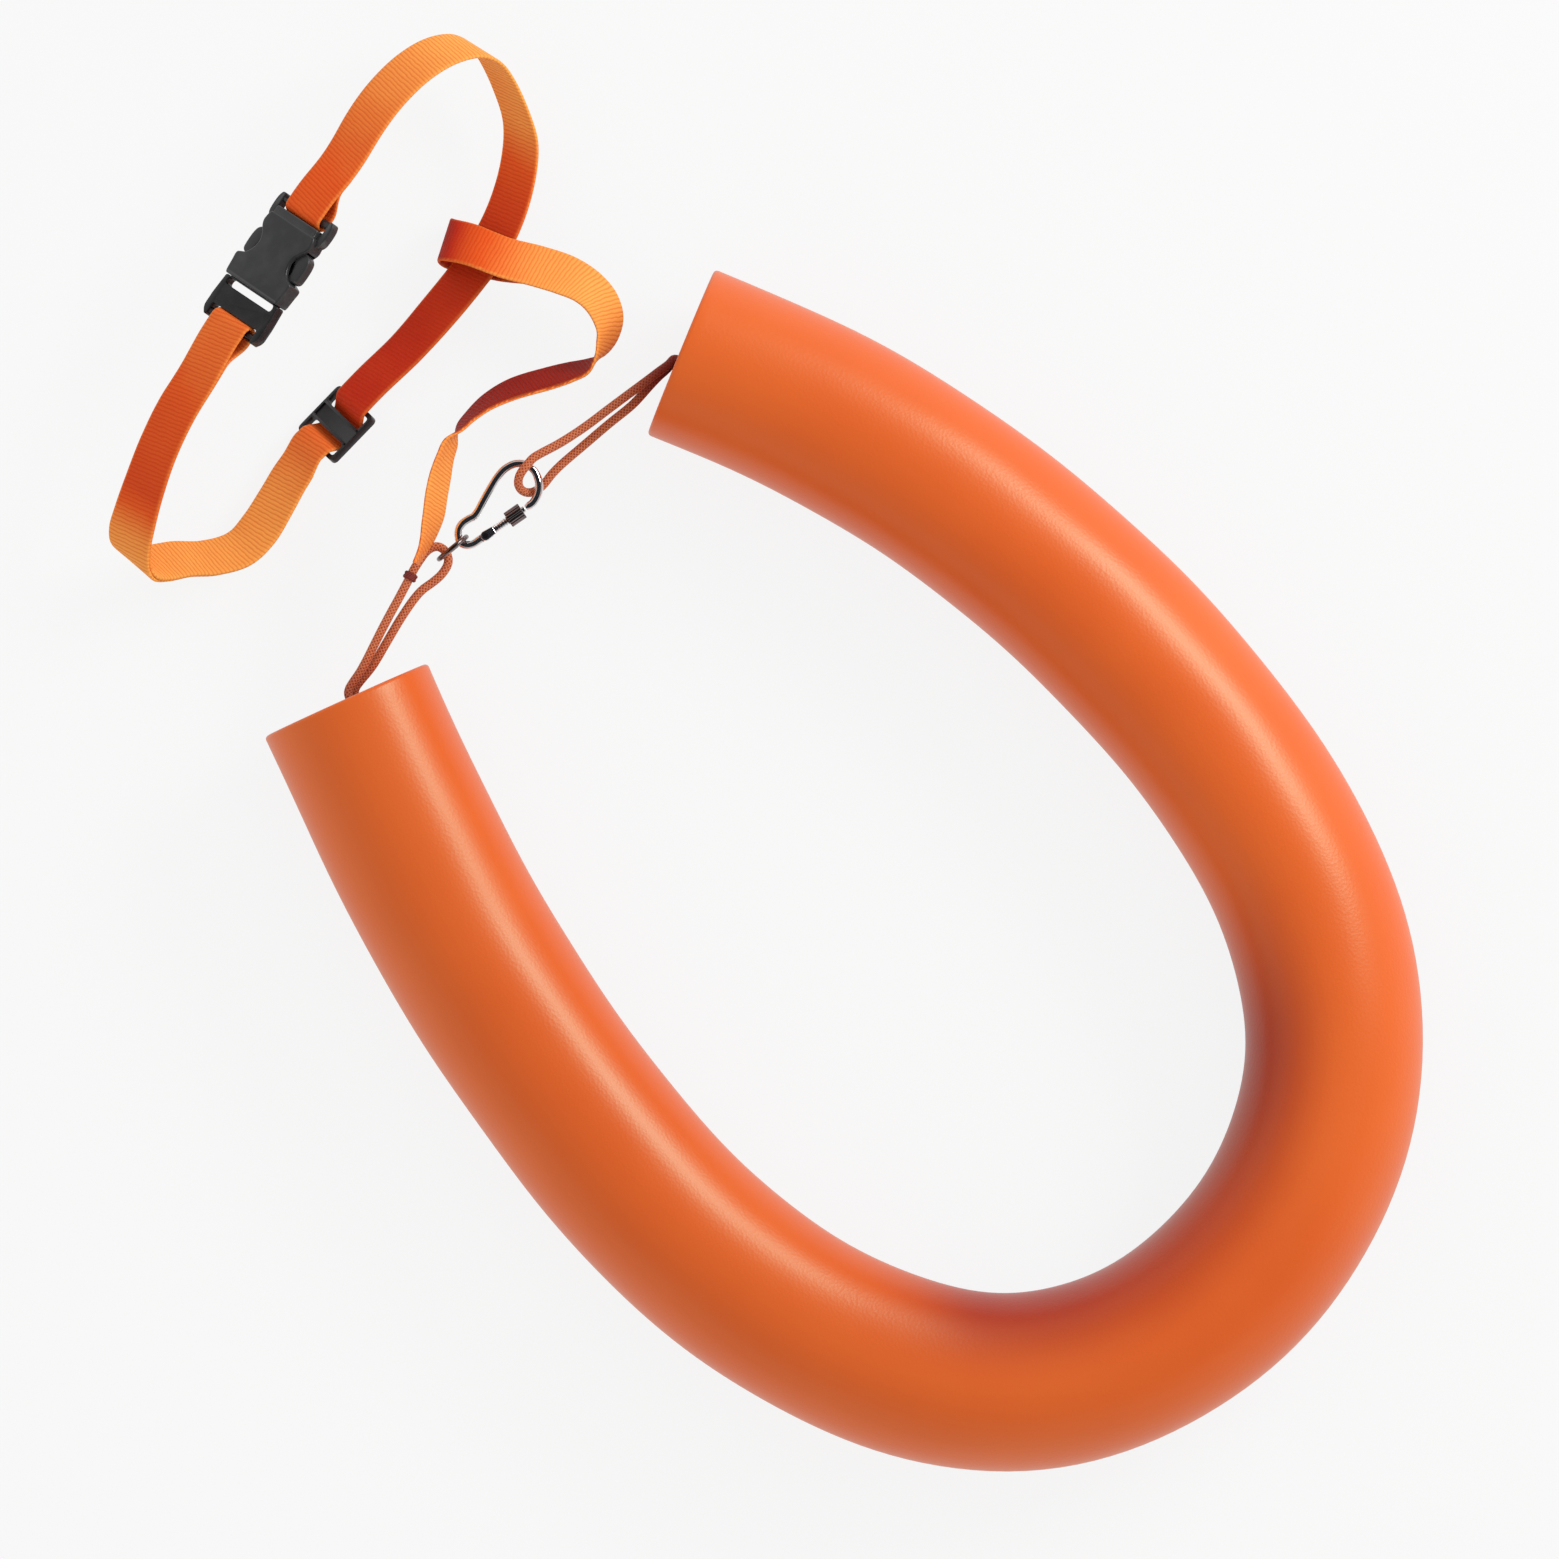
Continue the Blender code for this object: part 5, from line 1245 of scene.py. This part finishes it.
# Snap hook and ring
snap = {
    "length": 0.0403, "wire": 0.0034, "sides": 24, "hinge": (0.218, 0.134), "gateLength": 0.0186,
    "gateTurn": 10.5, "gateWidth": 0.0036, "forkWidth": 0.0040, "forkLength": 0.0042, "forkHeight": 0.0046,
    "eye": 0.0018, "tipGap": 0.0006, "tipStraight": 0.0014, "pin": 0.0012, "pinRoom": 0.0004,
    "gap": 0.00033,
    "threadStart": 0.0050, "threadPitch": 0.0010, "threadDepth": 0.00035, "nutWidth": 0.0066,
    "nutLength": 0.0068, "nutPlace": 0.0141, "flutes": 16, "fluteDepth": 0.0003, "eyeReach": 0.30,
    "wireStep": 0.0006, "tipShare": 0.72, "tipLength": 0.0012, "spring": 0.0014, "springWire": 0.0004,
}
snapWireShares = (
    (0.760, 0.236), (0.835, 0.222), (0.915, 0.175), (0.968, 0.105), (1.0, 0.010), (0.978, -0.085),
    (0.915, -0.155), (0.815, -0.190), (0.700, -0.186), (0.550, -0.150), (0.415, -0.112),
    (0.335, -0.088), (0.275, -0.080), (0.215, -0.098), (0.150, -0.110), (0.082, -0.098),
    (0.030, -0.055), (0.0, 0.006), (0.022, 0.066), (0.075, 0.104), (0.140, 0.118),
)
# one turn of the gate's thread: place along its pitch, depth
threadShares = ((0.12, 0.6), (0.25, 0.0), (0.45, 0.0), (0.58, 0.6), (0.72, 1.0), (0.9, 1.0))


def gateFrame():
    hinge = Matrix.Translation((snap["length"] * snap["hinge"][0], snap["length"] * snap["hinge"][1], 0))
    return snapFrame() @ hinge @ Matrix.Rotation(math.radians(snap["gateTurn"]), 4, "Z")


def circleOutline(radius, sides=32):
    return [(radius * x, radius * y) for x, y in ringShares(sides)]


def makeSnapBody():
    gate = snapFrame().inverted() @ gateFrame()
    tip = gate @ Vector((snap["gateLength"] + snap["tipGap"], 0, 0))
    afterTip = gate @ Vector((snap["gateLength"] + snap["tipGap"] + snap["tipStraight"], 0, 0))
    eye = gate @ Vector((0, 0, 0))
    rows = [tuple(tip), tuple(afterTip)]
    rows += [(snap["length"] * u, snap["length"] * v, 0) for u, v in snapWireShares]
    rows.append(tuple(eye + (Vector(rows[-1]) - eye).normalized() * snap["forkWidth"] * snap["eyeReach"]))
    line = smoothRows(rows, snap["wireStep"])
    line = evenlyAlong(line, round(walkedLengths(line)[-1] / snap["wireStep"]))
    walked = walkedLengths(line)
    wire = snap["wire"] / 2
    # the tip, where the gate closes, is turned down at its edge
    shares = snap["tipShare"] + walked / snap["tipLength"] * (1 - snap["tipShare"])
    radii = np.minimum(1.0, shares) * wire
    piece = sweptTube("snapBody", line, radii, snap["sides"])
    settle(piece, gate.inverted())
    room = snap["forkWidth"] / 2 + snap["pinRoom"]
    for side in (1, -1):
        low, high = sorted((side * snap["eye"] / 2, side * snap["wire"]))
        cutWith(piece, plate("eyeFlat", circleOutline(room), low, high))
    disc = circleOutline(snap["forkWidth"] / 2 - snap["gap"])
    disc = plate("hingeEye", disc, -snap["eye"] / 2, snap["eye"] / 2)
    cutWith(piece, bevelled(disc, 0.0002, 2), "UNION")
    hole = circleOutline(snap["pin"] / 2 + snap["pinRoom"], 20)
    cutWith(piece, plate("eyeHole", hole, -snap["forkHeight"], snap["forkHeight"]))
    smoothShade(piece, 40)
    dress(settle(piece, gateFrame()), chromeMaterial, "bright_steel", "snap", "snap_body")


def makeSnapGate():
    look = {"edge": 0.0004, "slotReach": 0.004, "springLength": 0.0062, "springInset": 0.0005}
    outer = snap["gateWidth"] / 2
    places = [(snap["forkLength"] * 0.7, outer * 0.9), (snap["threadStart"], outer * 0.9)]
    turns = int((snap["gateLength"] - snap["threadStart"] - snap["threadPitch"]) / snap["threadPitch"])
    for k in range(turns):
        start = snap["threadStart"] + snap["threadPitch"] * k
        for share, depth in threadShares:
            places.append((start + snap["threadPitch"] * share, outer - snap["threadDepth"] * depth))
    places.append((snap["gateLength"] - look["edge"], outer - snap["threadDepth"]))
    places.append((snap["gateLength"], outer * 0.7))
    rod = sweptTube("gateRod", [(x, 0, 0) for x, _ in places], [radius for _, radius in places], 28)
    half = snap["forkWidth"] / 2
    rounding = [math.radians(degrees) for degrees in range(90, 271, 15)]
    outline = [(half * math.cos(angle), half * math.sin(angle)) for angle in rounding]
    outline += [(snap["forkLength"], -half * 0.8), (snap["forkLength"], half * 0.8)]
    piece = plate("snapGate", outline, -snap["forkHeight"] / 2, snap["forkHeight"] / 2)
    bevelled(piece, look["edge"], 3)
    cutWith(piece, rod, "UNION")
    slotEnd = half + snap["gap"] * 2
    slot = snap["eye"] / 2 + snap["gap"]
    wide = boxOutline(-look["slotReach"], slotEnd, look["slotReach"])
    cutWith(piece, plate("forkSlot", wide, -slot, slot))
    hole = circleOutline(snap["pin"] / 2 + snap["pinRoom"], 20)
    cutWith(piece, plate("forkHole", hole, -snap["forkHeight"], snap["forkHeight"]))
    springRadius = snap["spring"] / 2 + snap["springWire"] / 2 + snap["gap"]
    springRoom = plate("springRoom", circleOutline(springRadius, 20), 0, look["springLength"])
    start = slotEnd - look["springInset"]
    lying = Matrix.Translation((start, 0, 0)) @ Matrix.Rotation(math.pi / 2, 4, "Y")
    springRoom.data.transform(lying)
    cutWith(piece, springRoom)
    smoothShade(piece, 40)
    dress(settle(piece, gateFrame()), chromeMaterial, "bright_steel", "gate", "snap_gate")


def makeLockNut():
    look = {"fluteShares": (0.0, 0.3, 1.0, 0.3), "edge": 0.00025}
    outer = []
    for k in range(snap["flutes"] * 4):
        angle = 2 * math.pi * k / (snap["flutes"] * 4)
        dip = snap["fluteDepth"] * look["fluteShares"][k % 4]
        radius = snap["nutWidth"] / 2 - dip
        outer.append((radius * math.cos(angle), radius * math.sin(angle)))
    half = snap["nutLength"] / 2
    piece = bevelled(plate("lockNut", outer, -half, half), look["edge"], 2, 60)
    bore = circleOutline(snap["gateWidth"] / 2 + snap["gap"], 32)
    cutWith(piece, plate("nutBore", bore, -half * 2, half * 2))
    smoothShade(piece, 40)
    along = Matrix.Translation((snap["nutPlace"], 0, 0)) @ Matrix.Rotation(math.pi / 2, 4, "Y")
    dress(settle(piece, gateFrame() @ along), nutMaterial, "dark_steel", "nut", "lock_nut")


def makeLinkRing():
    look = {"steps": 72, "sides": 18}
    nose = place(*picture["snapNose"], picture["cordHeight"])
    centre = nose - ringAway * ringBack
    radius = (picture["ringInner"] + picture["ringWire"]) / 2
    line = []
    for k in range(look["steps"]):
        angle = 2 * math.pi * k / look["steps"]
        line.append(centre + ringAway * radius * math.cos(angle) + Vector((0, 0, radius * math.sin(angle))))
    ring = sweptTube("linkRing", line, picture["ringWire"] / 2, look["sides"], loop=True)
    dress(ring, nutMaterial, "bright_steel", "float", "link_ring")


def dressCadNodes():
    # small inner pieces whose solids are right as they are
    looks = (("gate_pin", nutMaterial), ("gate_spring", chromeMaterial), ("cord_sleeve", nutMaterial))
    for node, material in looks:
        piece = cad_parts[node]
        piece.data.materials.clear()
        piece.data.materials.append(material)


makeCords()
print("cords made")
makeFoamTube()
print("foam tube made")
makeBeltStraps()
makeTether()
makeTetherBand()
print("webbing made")
makeSocket()
makePlug()
makeProngs()
makeSlider()
print("buckle and slider made")
makeSnapBody()
makeSnapGate()
makeLockNut()
makeLinkRing()
dressCadNodes()
print("snap hook and ring made")


# Floor and light
stage = {"size": 8.0, "grey": (0.93, 0.93, 0.93, 1), "seen": (0.938, 0.938, 0.938, 1), "seenShare": 0.92}
deselectAll()
bpy.ops.mesh.primitive_plane_add(size=stage["size"], location=(middle.x, middle.y, 0))
floor = nameIt(bpy.context.object, "floor")
floorMaterial = bpy.data.materials.new("pale floor")
floorMaterial.use_nodes = True
floorTree = floorMaterial.node_tree
floorTree.nodes.clear()
matte = addNode(floorTree, "ShaderNodeBsdfDiffuse", [("Color", stage["grey"])])
glow = addNode(floorTree, "ShaderNodeEmission", [("Color", stage["seen"]), ("Strength", 1.0)])
rays = floorTree.nodes.new("ShaderNodeLightPath")
straight = maths(floorTree, "ADD", rays.outputs["Is Camera Ray"], rays.outputs["Is Glossy Ray"])
straight = maths(floorTree, "ADD", straight, rays.outputs["Is Transmission Ray"])
seen = maths(floorTree, "MULTIPLY", straight, stage["seenShare"])
mixed = addNode(floorTree, "ShaderNodeMixShader", [(0, seen), (1, matte.outputs[0]), (2, glow.outputs[0])])
addNode(floorTree, "ShaderNodeOutputMaterial", [("Surface", mixed.outputs[0])])
floor.data.materials.append(floorMaterial)

# the world is even for the object, with a dark field overhead that only reflections see
studio = {
    "strength": 0.82, "overhead": (0.35, 0.65), "around": (0.75, 0.75, 0.75, 1),
    "above": (0.02, 0.02, 0.025, 1), "plain": (1.0, 1.0, 1.0, 1),
}
world = bpy.data.worlds.new("studio")
bpy.context.scene.world = world
world.use_nodes = True
sky = world.node_tree
skyPlace = sky.nodes.new("ShaderNodeTexCoord").outputs["Generated"]
skyWay = addNode(sky, "ShaderNodeSeparateXYZ", [(0, skyPlace)])
overhead = ramp(sky, skyWay.outputs[2], *studio["overhead"])
mirrored = sky.nodes.new("ShaderNodeLightPath").outputs["Is Glossy Ray"]
reflected = blendColour(sky, overhead, studio["around"], studio["above"])
skyColour = blendColour(sky, mirrored, studio["plain"], reflected)
sky.links.new(skyColour, sky.nodes["Background"].inputs["Color"])
sky.nodes["Background"].inputs["Strength"].default_value = studio["strength"]

key = {"right": 1.20, "up": 0.90, "height": 1.00, "aim": 0.05, "wide": 0.45, "tall": 1.0, "power": 18}
keySpot = middle + pictureRight * key["right"] + pictureUp * key["up"] + Vector((0, 0, key["height"]))
keyBack = (keySpot - middle - pictureRight * key["aim"]).normalized()
keySide = pictureUp.cross(keyBack).normalized()
bpy.ops.object.light_add(type="AREA", location=keySpot)
lamp = bpy.context.object
lamp.name = "key"
lamp.data.shape = "RECTANGLE"
lamp.data.size = key["wide"]
lamp.data.size_y = key["tall"]
lamp.data.energy = key["power"]
keyTurn = Matrix((keySide, keyBack.cross(keySide), keyBack)).transposed().to_4x4()
lamp.matrix_world = Matrix.Translation(keySpot) @ keyTurn
bpy.context.scene.view_settings.view_transform = "Standard"
